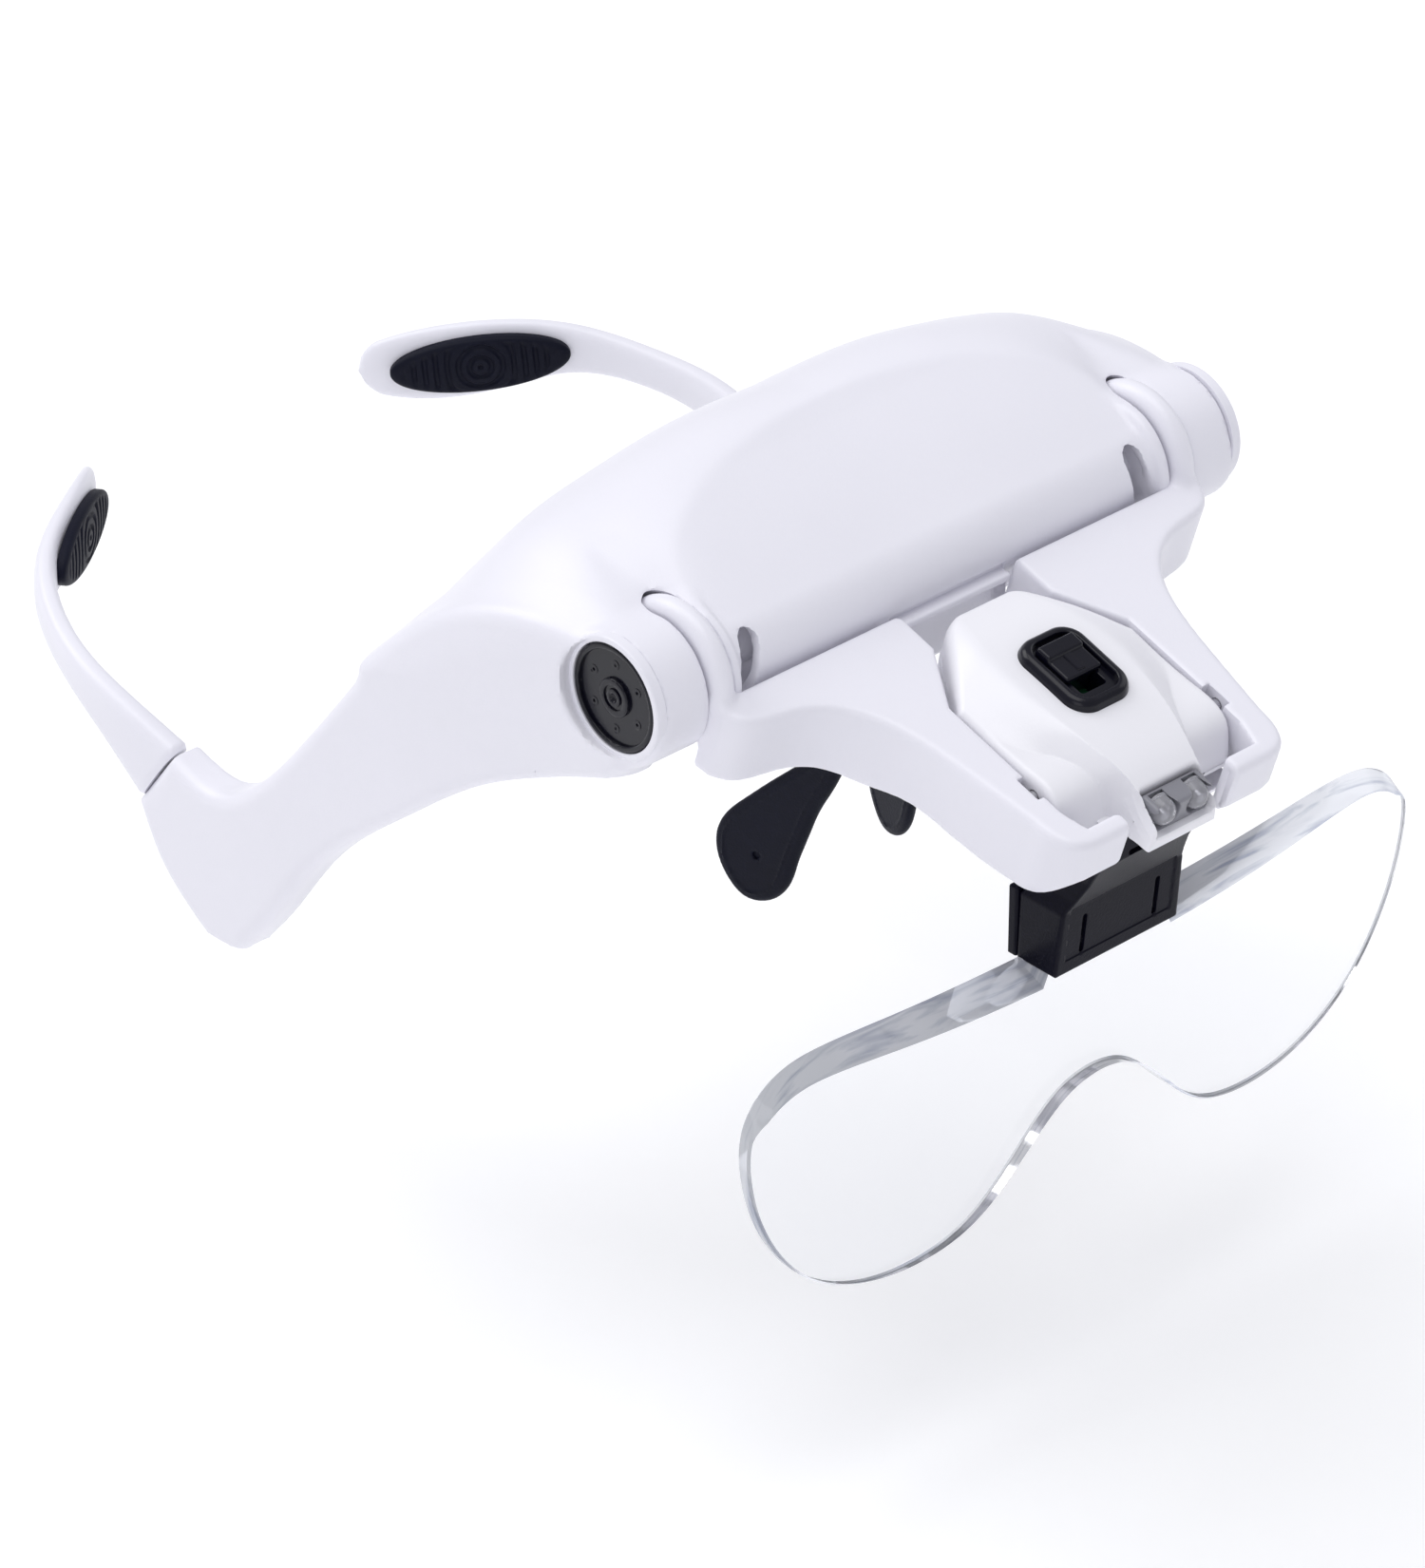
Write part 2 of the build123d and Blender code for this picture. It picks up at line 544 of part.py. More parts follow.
with BuildPart() as leds:
    for side in (-1, 1):
        with BuildSketch(Plane(origin=deck.from_local_coords(Vector(side * LED_X, -NOSE_FRONT + 4.4, LED_W)),
                               x_dir=(1, 0, 0), z_dir=-deck.y_dir)):
            Circle(LED_R)
        extrude(amount=3.6)
finish(leds.part, "leds")

with BuildPart() as lamp_board:
    with Locations(deck.location * Location((0, -46.0, -3.4))):
        Box(15.0, 32.0, 1.2)
    with Locations(deck.location * Location((0, -SWITCH_V, -0.6))):
        Box(7.6, 12.0, 4.6)
finish(lamp_board.part, "lamp_board")

with BuildPart() as switch_bezel:
    with BuildSketch(deck.offset(6.1)):
        with Locations((0, -SWITCH_V)):
            RectangleRounded(*BEZEL_SIZE, 3.6)
    extrude(amount=SWITCH_W - 6.1)
    fillet(faces().sort_by(Axis.Z)[-1].edges(), 0.5)
    with BuildSketch(deck.offset(1.8)):
        with Locations((0, -SWITCH_V)):
            RectangleRounded(8.6, 12.2, 1.2)
    extrude(amount=5.0)
    with BuildSketch(deck.offset(1.8)):
        with Locations((0, -SWITCH_V)):
            RectangleRounded(6.0, 10.6, 0.8)
    extrude(amount=8, mode=Mode.SUBTRACT)
finish(switch_bezel.part, "switch_bezel")

SLIDER_TRAVEL = 3.2
with BuildPart() as switch_slider:
    with BuildSketch(deck.offset(2.6)):
        with Locations((0, -SWITCH_V + SLIDER_TRAVEL / 2)):
            RectangleRounded(5.2, 6.6, 0.6)
    extrude(amount=SWITCH_W - 2.6 + 0.2)
    with BuildSketch(deck.offset(SWITCH_W + 0.2)):
        with Locations(*[(0, -SWITCH_V + SLIDER_TRAVEL / 2 + step) for step in (-1.8, 0, 1.8)]):
            Rectangle(4.2, 0.7)
    extrude(amount=0.6)
finish(switch_slider.part, "switch_slider")

# ------------------------------------------------------------------ lens and its clip
# Right half of the lens seen from the front: x and z, clockwise from the top middle.
LENS_TOP_EDGE = [(0, LENS_TOP), (24, LENS_TOP), (46, -48.0), (62, -50.4), (72, -53.6)]
LENS_SIDE = [(72, -53.6), (79.4, -60.5), (80.0, -71), (75.5, -84), (66.5, -95.5), (53, -103), (40, -104.6)]
LENS_NOSE = [(40, -104.6), (29, -102.4), (19.6, -95.6), (12, -88.2), (5.6, -84), (0, -83)]
with BuildPart() as lens:
    with BuildSketch(Plane(origin=(0, LENS_Y, 0), x_dir=(1, 0, 0), z_dir=(0, -1, 0))):
        with BuildLine():
            Spline(*LENS_TOP_EDGE, tangents=[(1, 0), (1, -0.45)])
            Spline(*LENS_SIDE)
            Spline(*LENS_NOSE, tangents=[(-1, 0), (-1, 0)])
            Line(LENS_NOSE[-1], LENS_TOP_EDGE[0])
        make_face()
    extrude(amount=LENS_THICK)
    with Locations((0, LENS_Y - LENS_THICK + LENS_FRONT_R, LENS_TOP)):
        Sphere(LENS_FRONT_R, mode=Mode.INTERSECT)
    mirror(about=Plane.YZ)
finish(lens.part, "lens")

CLIP_FRONT, CLIP_REAR = LENS_Y - LENS_THICK - 1.8, LENS_Y + 0.1
HEAD_Y, HEAD_TOP = -100.4, -26.6
HEAD_HALF, HEAD_DEPTH = NOTCH_HALF - GAP, 8.4
with BuildPart() as lens_clip:
    # jaw over the lens
    with Locations((0, (CLIP_FRONT + CLIP_REAR) / 2, (CLIP_BOTTOM + CLIP_TOP) / 2)):
        Box(2 * CLIP_HALF, CLIP_REAR - CLIP_FRONT, CLIP_TOP - CLIP_BOTTOM)
    fillet(edges().filter_by(Axis.Z), 1.0)
    with Locations((0, LENS_Y - LENS_THICK / 2 + 5, (CLIP_BOTTOM + LENS_TOP) / 2 - 1)):
        Box(2 * CLIP_HALF + 2, LENS_THICK + 10.2, LENS_TOP - CLIP_BOTTOM + 3.0, mode=Mode.SUBTRACT)
    # neck, and the head that plugs into the bracket
    with BuildSketch(Plane.YZ):
        with BuildLine():
            Polyline((CLIP_REAR - 1.0, CLIP_TOP - 1), (HEAD_Y + HEAD_DEPTH / 2, -33.0), (HEAD_Y + HEAD_DEPTH / 2, HEAD_TOP),
                     (HEAD_Y - HEAD_DEPTH / 2, HEAD_TOP), (HEAD_Y - HEAD_DEPTH / 2, -31.0),
                     (CLIP_FRONT + 0.4, CLIP_TOP - 1), close=True)
        make_face()
    extrude(amount=HEAD_HALF, both=True)
    for x in (-9.5, 9.5):
        with Locations((x, CLIP_FRONT + 1, -51.0)):
            Box(1.2, 8, 4.5, mode=Mode.SUBTRACT)
    with Locations((0, HEAD_Y, -36.0)):
        Box(12.0, 20, 1.4, mode=Mode.SUBTRACT)
    with Locations(*[(x, LENS_Y, CLIP_TOP - 1.8) for x in (-10, 10)]):
        Cylinder(0.9, 7.0, rotation=(90, 0, 0), mode=Mode.SUBTRACT)
finish(lens_clip.part, "lens_clip")

RETAINER_THICK = 2.2
with BuildPart() as lens_retainer:
    with Locations((0, LENS_Y + 0.2 + RETAINER_THICK / 2, (CLIP_BOTTOM + CLIP_TOP) / 2)):
        Box(2 * CLIP_HALF, RETAINER_THICK, CLIP_TOP - CLIP_BOTTOM)
    fillet(edges().filter_by(Axis.Z).group_by(Axis.Y)[-1], 1.2)
    with Locations(*[(x, LENS_Y, CLIP_TOP - 1.8) for x in (-10, 10)]):
        Cylinder(0.9, 12, rotation=(90, 0, 0), mode=Mode.SUBTRACT)
finish(lens_retainer.part, "lens_retainer")

with BuildPart() as retainer_screws:
    for x in (-10, 10):
        with Locations((x, LENS_Y - 0.3, CLIP_TOP - 1.8)):
            Cylinder(0.85, 5.6, rotation=(90, 0, 0))
        with Locations((x, LENS_Y + RETAINER_THICK + 0.6, CLIP_TOP - 1.8)):
            Cylinder(1.5, 0.7, rotation=(90, 0, 0))
finish(retainer_screws.part, "retainer_screws")

# ------------------------------------------------------------------ legs
# Middle line of the leg, from the fin to its tip, with its thickness and height there.
LEG_ROUTE = [
    (LEG_START + LEG_DIR * 2 * GAP, 5.4, 11.6), (Vector(76.4, 76.5, -56.6), 4.6, 8.4), (Vector(75.6, 88, -50.6), 3.6, 6.0),
    (Vector(71.0, 101.5, -47.2), 3.2, 5.6), (Vector(62.5, 113.5, -46.6), 3.2, 9.5),
    (Vector(50.5, 126.8, -48.0), 3.2, 15.0), (Vector(38.5, 140.0, -49.6), 3.0, 13.5),
    (Vector(34.0, 145.0, -50.2), 2.4, 8.0),
]


def leg_plane(index):
    """Plane square to the leg's run at a point of its route, with its own y up."""
    before = LEG_ROUTE[max(index - 1, 0)][0]
    after = LEG_ROUTE[min(index + 1, len(LEG_ROUTE) - 1)][0]
    run = LEG_DIR if index == 0 else (after - before).normalized()
    level = run.cross(Vector(0, 0, 1)).normalized()
    return Plane(origin=LEG_ROUTE[index][0], x_dir=level, z_dir=run)


PAD_AT = 5
pad_run = leg_plane(PAD_AT).z_dir
pad_out = Vector(-abs(pad_run.Y), pad_run.X, 0).normalized()
pad_plane = Plane(origin=LEG_ROUTE[PAD_AT][0] + pad_out * 0.9, x_dir=pad_run, z_dir=pad_out)

with BuildPart() as temple_pad:
    with BuildSketch(pad_plane):
        Ellipse(PAD_LENGTH / 2, PAD_HEIGHT / 2)
    extrude(amount=PAD_THICK + 0.6)
    fillet(edges().sort_by(lambda edge: (edge.center() - pad_plane.origin).dot(pad_out))[-1], 0.7)
finish_pair(temple_pad.part, "temple_pad")

with BuildPart() as leg:
    for index, (place, thickness, height) in enumerate(LEG_ROUTE):
        with BuildSketch(leg_plane(index)):
            RectangleRounded(thickness, height, thickness * 0.42)
    loft()
    with BuildSketch(leg_seat.offset(3 * GAP)):
        RectangleRounded(TONGUE[0], TONGUE[1], 1.0)
    extrude(amount=-TONGUE[2] - 3 * GAP)
    with BuildSketch(pad_plane):
        Ellipse(PAD_LENGTH / 2 + 0.05, PAD_HEIGHT / 2 + 0.05)
    extrude(amount=6, mode=Mode.SUBTRACT)
finish_pair(leg.part, "leg")

# ------------------------------------------------------------------ nose rest
with BuildPart() as nose_pin:
    with BuildSketch(Plane.YZ.offset(-8.9)):
        with Locations((NOSE_PIN_Y, NOSE_PIN_Z)):
            Circle(NOSE_PIN_R)
    extrude(amount=17.8)
finish(nose_pin.part, "nose_pin")

NOSE_PAD_MIDDLE, NOSE_PAD_LENGTH, NOSE_PAD_WIDTH, NOSE_PAD_THICK = Vector(15.0, -28.5, -60.0), 35.0, 16.5, 2.4
nose_pad_run = Vector(0.12, 0.51, -0.85).normalized()
nose_pad_out = Vector(1, -0.25, 0.0).normalized()
nose_pad_out = (nose_pad_out - nose_pad_run * nose_pad_out.dot(nose_pad_run)).normalized()
nose_pad_plane = Plane(origin=NOSE_PAD_MIDDLE, x_dir=nose_pad_run, z_dir=nose_pad_out)

with BuildPart() as nose_bridge:
    with BuildSketch(Plane.YZ.offset(-5.6)):
        with Locations((NOSE_PIN_Y, NOSE_PIN_Z)):
            Circle(3.0)
    extrude(amount=11.2)
    with Locations((0, NOSE_PIN_Y, -29.0)):
        Box(9.0, 3.4, 13.0)
    with BuildSketch(Plane.YZ.offset(-10)):
        with Locations((NOSE_PIN_Y, NOSE_PIN_Z)):
            Circle(NOSE_PIN_R + 0.05)
    extrude(amount=20, mode=Mode.SUBTRACT)
    stem_end = nose_pad_plane.from_local_coords(Vector(-9.0, 0, -1.6))
    for side in (1, -1):
        with BuildLine():
            stem = Spline((0, NOSE_PIN_Y, -34.0), (side * 9.0, NOSE_PIN_Y - 0.4, -38.5),
                          (side * stem_end.X, stem_end.Y, stem_end.Z),
                          tangents=[(side, 0, 0), (side * 0.2, 0.5, -0.85)])
        with BuildSketch(Plane(origin=stem @ 0, x_dir=(0, 0, 1), z_dir=stem % 0)):
            Circle(1.5)
        sweep(path=stem)
finish(nose_bridge.part, "nose_bridge")

with BuildPart() as nose_pad:
    with BuildSketch(nose_pad_plane):
        with BuildLine():
            half, wide = NOSE_PAD_LENGTH / 2, NOSE_PAD_WIDTH / 2
            Spline((-half, 0), (-half + 5, wide * 0.62), (2, wide), (half - 3.5, wide * 0.7), (half, 0),
                   (half - 3.5, -wide * 0.7), (2, -wide), (-half + 5, -wide * 0.62), (-half, 0), periodic=False)
        make_face()
    extrude(amount=NOSE_PAD_THICK)
finish_pair(nose_pad.part, "nose_pad")
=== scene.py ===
import math

import bpy
import numpy as np
from mathutils import Matrix


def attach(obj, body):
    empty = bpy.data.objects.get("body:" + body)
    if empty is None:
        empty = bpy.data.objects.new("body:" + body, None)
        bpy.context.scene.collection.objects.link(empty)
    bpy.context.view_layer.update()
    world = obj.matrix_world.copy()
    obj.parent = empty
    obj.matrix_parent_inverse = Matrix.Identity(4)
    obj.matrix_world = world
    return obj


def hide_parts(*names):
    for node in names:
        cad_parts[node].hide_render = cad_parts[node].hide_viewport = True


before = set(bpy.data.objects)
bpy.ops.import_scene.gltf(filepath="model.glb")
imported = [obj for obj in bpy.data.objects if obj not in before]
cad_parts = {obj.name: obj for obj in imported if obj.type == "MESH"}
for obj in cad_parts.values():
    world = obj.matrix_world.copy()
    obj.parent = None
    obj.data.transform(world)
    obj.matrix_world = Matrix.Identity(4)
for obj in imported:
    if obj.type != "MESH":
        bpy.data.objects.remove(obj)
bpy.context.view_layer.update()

MM = 0.001

# ---------- curves and distance fields
# A piece is a function that gives the signed distance (mm) of points from its surface, negative
# inside. contour() turns such a function into a mesh with crisp edges. Deck coordinates are those of
# the tilted bracket: x, v forward from the hinge and w up; row coordinates are those of the frame.
TINY = 1e-12


def spline(points, count=80):
    """Smooth curve through points, spaced evenly by chord length."""
    p = np.array(points, float)
    t = np.concatenate([[0], np.cumsum(np.linalg.norm(np.diff(p, axis=0), axis=1))])
    n, h = len(p), np.diff(t)
    # natural cubic: the second derivatives m solve a tridiagonal system
    a, r = np.eye(n), np.zeros_like(p)
    for i in range(1, n - 1):
        a[i, i - 1:i + 2] = h[i - 1], 2 * (h[i - 1] + h[i]), h[i]
        r[i] = 6 * ((p[i + 1] - p[i]) / h[i] - (p[i] - p[i - 1]) / h[i - 1])
    m = np.linalg.solve(a, r)
    s = np.linspace(0, t[-1], count)
    k = np.clip(np.searchsorted(t, s, "right") - 1, 0, n - 2)
    u, v = ((t[k + 1] - s) / h[k])[:, None], ((s - t[k]) / h[k])[:, None]
    bend = (h[k] ** 2 / 6)[:, None]
    return u * p[k] + v * p[k + 1] + ((u ** 3 - u) * m[k] + (v ** 3 - v) * m[k + 1]) * bend


def graph(points):
    """Smooth function y(x) through (x, y) points, clamped outside them."""
    line = spline(points, 600)
    order = np.argsort(line[:, 0])
    xs, ys = line[order, 0], line[order, 1]
    return lambda x: np.interp(x, xs, ys)


def smax(a, b, k):
    """Larger of two distances, with the corner rounded over a width k."""
    h = np.maximum(k - np.abs(a - b), 0) / k
    return np.maximum(a, b) + h * h * k * 0.25


def smin(a, b, k):
    """Smaller of two distances, with the corner filled over a width k."""
    return -smax(-a, -b, k)


def polygon(poly, u, v):
    """Signed distance to a closed polygon."""
    far, inside = np.full(u.shape, 1e9), np.zeros(u.shape, bool)
    for (au, av), (bu, bv) in zip(poly, np.roll(poly, -1, axis=0)):
        eu, ev = bu - au, bv - av
        wu, wv = u - au, v - av
        t = np.clip((wu * eu + wv * ev) / (eu * eu + ev * ev + TINY), 0, 1)
        far = np.minimum(far, (wu - eu * t) ** 2 + (wv - ev * t) ** 2)
        over = ((av <= v) & (v < bv)) | ((bv <= v) & (v < av))
        inside ^= over & (u < au + wv * eu / (ev if ev else TINY))
    return np.where(inside, -1, 1) * np.sqrt(far)


def profile(points, step=0.25, pad=12.0):
    """Fast signed distance to a closed polygon, read from a table."""
    poly = np.array(points, float)
    low = poly.min(0) - pad
    count = np.ceil((poly.max(0) + pad - low) / step).astype(int) + 1
    across, along = [low[i] + step * np.arange(count[i]) for i in range(2)]
    grid = np.meshgrid(across, along, indexing="ij")
    value = polygon(poly, *grid)

    def look(u, v):
        i = np.clip((u - low[0]) / step, 0, count[0] - 1.001)
        j = np.clip((v - low[1]) / step, 0, count[1] - 1.001)
        a, b = i.astype(int), j.astype(int)
        p, q = i - a, j - b
        return ((value[a, b] * (1 - q) + value[a, b + 1] * q) * (1 - p)
                + (value[a + 1, b] * (1 - q) + value[a + 1, b + 1] * q) * p)
    return look


def box(x, y, z, low, high, r=0.0):
    """Signed distance to a box with rounded edges."""
    parts = [np.abs(c - (a + b) / 2) - (b - a) / 2 + r for c, a, b in zip((x, y, z), low, high)]
    out = np.sqrt(sum(np.maximum(p, 0) ** 2 for p in parts))
    return out + np.minimum(np.maximum(np.maximum(parts[0], parts[1]), parts[2]), 0) - r


def capsule(u, v, a, b, r):
    """Signed distance to a slot from a to b in the plane."""
    eu, ev = b[0] - a[0], b[1] - a[1]
    t = np.clip(((u - a[0]) * eu + (v - a[1]) * ev) / (eu * eu + ev * ev + TINY), 0, 1)
    return np.hypot(u - a[0] - eu * t, v - a[1] - ev * t) - r


def slope_of(sdf, p, e=0.02):
    """Gradient of a distance field at points."""
    g = np.stack([sdf(*(p + shift).T) - sdf(*(p - shift).T) for shift in e * np.eye(3)], axis=1)
    return g / np.maximum(np.linalg.norm(g, axis=1), 1e-9)[:, None]


BLOCK, BATCH = 6, 400000        # cells per side of a block, points per call of a distance field
STIFFNESS, REACH = 0.06, 0.7    # pull of a cell's vertex to its middle, and how far it may go in cells


def contour(sdf, low, high, step):
    """Vertices (mm) and quads of the surface of a distance field, by dual contouring."""
    low, high = np.array(low, float), np.array(high, float)
    blocks = np.ceil((high - low) / (step * BLOCK)).astype(int)
    n = blocks * BLOCK + 1
    # only blocks near the surface are sampled finely
    centre = [low[i] + (np.arange(blocks[i]) + 0.5) * BLOCK * step for i in range(3)]
    grid = np.meshgrid(*centre, indexing="ij")
    coarse = sdf(*[g.ravel() for g in grid]).reshape(blocks)
    near = np.abs(coarse) < BLOCK * step * 1.25
    value = np.full(n, 1.0, np.float32)
    fill = np.where(coarse < 0, -1.0, 1.0)
    for i in range(3):
        fill = np.repeat(fill, BLOCK, axis=i)
    value[:-1, :-1, :-1] = fill
    mask = np.zeros(n, bool)
    for a, b, c in np.argwhere(near) * BLOCK:
        mask[a:a + BLOCK + 1, b:b + BLOCK + 1, c:c + BLOCK + 1] = True
    index = np.argwhere(mask)
    spots = low + index * step
    for i in range(0, len(spots), BATCH):
        value[tuple(index[i:i + BATCH].T)] = sdf(*spots[i:i + BATCH].T)
    cells = np.array(n) - 1

    def flat(q):
        return (q[:, 0] * cells[1] + q[:, 1]) * cells[2] + q[:, 2]

    # one quad round each grid edge that the surface crosses
    owners, spot_of, quads = [], [], []
    for axis in range(3):
        first, second = [slice(None)] * 3, [slice(None)] * 3
        first[axis], second[axis] = slice(0, -1), slice(1, None)
        va, vb = value[tuple(first)], value[tuple(second)]
        edges = np.argwhere((va < 0) != (vb < 0))
        one, two = (axis + 1) % 3, (axis + 2) % 3
        edges = edges[(edges[:, one] > 0) & (edges[:, two] > 0)
                      & (edges[:, one] < cells[one]) & (edges[:, two] < cells[two])]
        a, b = va[tuple(edges.T)], vb[tuple(edges.T)]
        t = a / (a - b)
        spot = low + edges * step
        spot[:, axis] += t * step
        around = []
        for du, dv in ((0, 0), (-1, 0), (-1, -1), (0, -1)):
            q = edges.copy()
            q[:, one] += du
            q[:, two] += dv
            around.append(flat(q))
        quad = np.stack(around, axis=1)
        quad[a >= 0] = quad[a >= 0][:, ::-1]
        quads.append(quad)
        owners += around
        spot_of += [spot] * 4
    spot, owner = np.concatenate(spot_of), np.concatenate(owners)
    used, owner = np.unique(owner, return_inverse=True)
    whole, back = np.unique(np.round(spot, 5), axis=0, return_inverse=True)
    back = back.ravel()
    # pull the crossings onto the surface
    for _ in range(2):
        d = sdf(*whole.T)
        normal = slope_of(sdf, whole)
        whole = whole - normal * np.clip(d, -step / 2, step / 2)[:, None]
    spot, normal = whole[back], normal[back]
    count = np.bincount(owner, minlength=len(used))

    def add(w):
        return np.bincount(owner, weights=w, minlength=len(used))

    # each cell's vertex fits the tangent planes of its crossings
    middle = np.stack([add(spot[:, i]) for i in range(3)], axis=1) / count[:, None]
    gap = ((spot - middle[owner]) * normal).sum(1)
    ata = np.zeros((len(used), 3, 3))
    atb = np.zeros((len(used), 3))
    for i in range(3):
        atb[:, i] = add(normal[:, i] * gap)
        for j in range(i, 3):
            ata[:, i, j] = ata[:, j, i] = add(normal[:, i] * normal[:, j])
    ata += np.eye(3) * (STIFFNESS * count)[:, None, None]
    move = np.linalg.solve(ata, atb[:, :, None])[:, :, 0]
    vertices = middle + np.clip(move, -REACH * step, REACH * step)
    faces = np.searchsorted(used, np.concatenate(quads))
    return vertices, faces


def outward(mesh):
    """Turn a closed mesh inside out if its faces look inwards."""
    count = len(mesh.polygons)
    centre, normal, area = np.zeros(count * 3), np.zeros(count * 3), np.zeros(count)
    mesh.polygons.foreach_get("center", centre)
    mesh.polygons.foreach_get("normal", normal)
    mesh.polygons.foreach_get("area", area)
    if (centre.reshape(-1, 3) * normal.reshape(-1, 3)).sum(1).dot(area) < 0:
        mesh.flip_normals()


def mesh_object(name, vertices, faces, caps=(), angle=40.0):
    """Mesh object from vertices in millimetres, equal-sided faces and further caps."""
    mesh = bpy.data.meshes.new(name)
    vertices, faces = np.asarray(vertices, float) * MM, np.asarray(faces)
    mesh.vertices.add(len(vertices))
    mesh.vertices.foreach_set("co", vertices.astype(np.float32).ravel())
    totals = np.array([faces.shape[1]] * len(faces) + [len(cap) for cap in caps], np.int32)
    corners = np.concatenate([faces.ravel()] + [np.array(cap) for cap in caps])
    mesh.loops.add(len(corners))
    mesh.loops.foreach_set("vertex_index", corners.astype(np.int32))
    mesh.polygons.add(len(totals))
    mesh.polygons.foreach_set("loop_start", np.concatenate([[0], np.cumsum(totals)[:-1]]).astype(np.int32))
    mesh.polygons.foreach_set("loop_total", totals)
    mesh.update(calc_edges=True)
    mesh.validate()
    outward(mesh)
    mesh.shade_smooth()
    mesh.set_sharp_from_angle(angle=math.radians(angle))
    piece = bpy.data.objects.new(name, mesh)
    bpy.context.scene.collection.objects.link(piece)
    return piece


# ---------- materials


def start(name):
    """New node material, its shader and the object coordinates."""
    material = bpy.data.materials.new(name)
    material.use_nodes = True
    nodes = material.node_tree.nodes
    return material, nodes["Principled BSDF"].inputs, nodes.new("ShaderNodeTexCoord").outputs["Object"]


def noise(material, place, scale, detail=2.0, distortion=0.0):
    """Noise pattern over the given coordinates."""
    node = material.node_tree.nodes.new("ShaderNodeTexNoise")
    node.inputs["Scale"].default_value = scale
    node.inputs["Detail"].default_value = detail
    node.inputs["Distortion"].default_value = distortion
    material.node_tree.links.new(place, node.inputs["Vector"])
    return node.outputs["Fac"]


def tint(material, shader, pattern, low, high, ends=(0.0, 1.0)):
    """Base colour that runs from low to high with the pattern."""
    node = material.node_tree.nodes.new("ShaderNodeValToRGB")
    for element, at, colour in zip(node.color_ramp.elements, ends, (low, high)):
        element.position, element.color = at, (*colour, 1)
    material.node_tree.links.new(pattern, node.inputs["Fac"])
    material.node_tree.links.new(node.outputs["Color"], shader["Base Color"])


def gloss(material, shader, pattern, low, high):
    """Roughness that runs from low to high with the pattern."""
    node = material.node_tree.nodes.new("ShaderNodeMapRange")
    node.inputs["To Min"].default_value, node.inputs["To Max"].default_value = low, high
    material.node_tree.links.new(pattern, node.inputs["Value"])
    material.node_tree.links.new(node.outputs["Result"], shader["Roughness"])


def plastic(name, colour, rough, grain, spread=0.02, coat=0.0, specular=0.5):
    """Moulded plastic: fine grain, faint flow marks and uneven gloss."""
    material, shader, place = start(name)
    shader["Specular IOR Level"].default_value = specular
    shader["Coat Weight"].default_value = coat
    shader["Coat Roughness"].default_value = 0.12
    flow = noise(material, place, 38.0, 3.0)
    tint(material, shader, flow, [c * (1 - spread) for c in colour], colour, (0.3, 0.7))
    gloss(material, shader, flow, rough - 0.05, rough + 0.05)
    bump = material.node_tree.nodes.new("ShaderNodeBump")
    bump.inputs["Strength"].default_value = grain
    bump.inputs["Distance"].default_value = 0.00012
    material.node_tree.links.new(noise(material, place, 2600.0), bump.inputs["Height"])
    material.node_tree.links.new(bump.outputs["Normal"], shader["Normal"])
    return material


def clear(name, colour, rough, ior, absorb=0.0, through=1.0):
    """Clear moulded plastic with a trace of flow marks."""
    material, shader, place = start(name)
    shader["Transmission Weight"].default_value = through
    shader["IOR"].default_value = ior
    flow = noise(material, place, 30.0)
    tint(material, shader, flow, [c * (1 - absorb) for c in colour], colour)
    gloss(material, shader, flow, rough, rough + 0.012)
    return material


def metal(name, colour, rough):
    """Plated steel with fine turning marks."""
    material, shader, place = start(name)
    shader["Metallic"].default_value = 1.0
    marks = noise(material, place, 900.0, 4.0)
    tint(material, shader, marks, [c * 0.8 for c in colour], colour)
    gloss(material, shader, marks, rough - 0.06, rough + 0.1)
    return material


def edge_with_painted_glints():
    """Cut edge of the lens: clear, with painted reflections: bluish-white highlight bands and dark grey-blue
    glints painted into its colour, running round it.
    """
    material, shader, place = start("lens_edge_painted_glints")
    shader["Transmission Weight"].default_value = 0.45
    shader["Specular IOR Level"].default_value = 0.7
    shader["IOR"].default_value = 1.49
    gloss(material, shader, noise(material, place, 30.0), 0.03, 0.042)
    spread = material.node_tree.nodes.new("ShaderNodeMapping")
    spread.inputs["Scale"].default_value = (1.0, 9.0, 1.0)
    material.node_tree.links.new(place, spread.inputs["Vector"])
    # painted reflections: stretched noise paints bright bluish highlights and dark grey-blue glints into the
    # edge's base colour
    painted_glint_bands = noise(material, spread.outputs["Vector"], 42.0, 4.0, 1.2)
    tint(material, shader, painted_glint_bands, (0.50, 0.54, 0.66), (0.93, 0.95, 1.0), (0.34, 0.54))
    return material


WHITE = plastic("white_plastic", (0.82, 0.812, 0.875), 0.36, 0.25, 0.015)
LAMP_WHITE = plastic("lamp_plastic", (0.84, 0.835, 0.875), 0.3, 0.2, 0.012)
BLACK = plastic("black_plastic", (0.004, 0.004, 0.011), 0.34, 0.3, 0.3, specular=0.1)
GLOSS_BLACK = plastic("gloss_black", (0.004, 0.004, 0.010), 0.22, 0.1, 0.3, coat=0.1, specular=0.25)
RUBBER = plastic("soft_rubber", (0.005, 0.006, 0.016), 0.5, 0.4, 0.3, specular=0.12)
ACRYLIC = clear("clear_acrylic", (0.985, 0.99, 1.0), 0.004, 1.49, 0.004)
EPOXY = clear("led_epoxy", (0.68, 0.68, 0.73), 0.1, 1.4, 0.06, 0.65)
WINDOW = plastic("window_grey", (0.24, 0.24, 0.27), 0.3, 0.2, 0.15)
STEEL = metal("plated_steel", (0.62, 0.62, 0.64), 0.28)
BOARD = plastic("green_board", (0.02, 0.14, 0.06), 0.35, 0.4, 0.25)
CELL = plastic("cell_sleeve", (0.05, 0.055, 0.07), 0.3, 0.1, 0.2, coat=0.5)


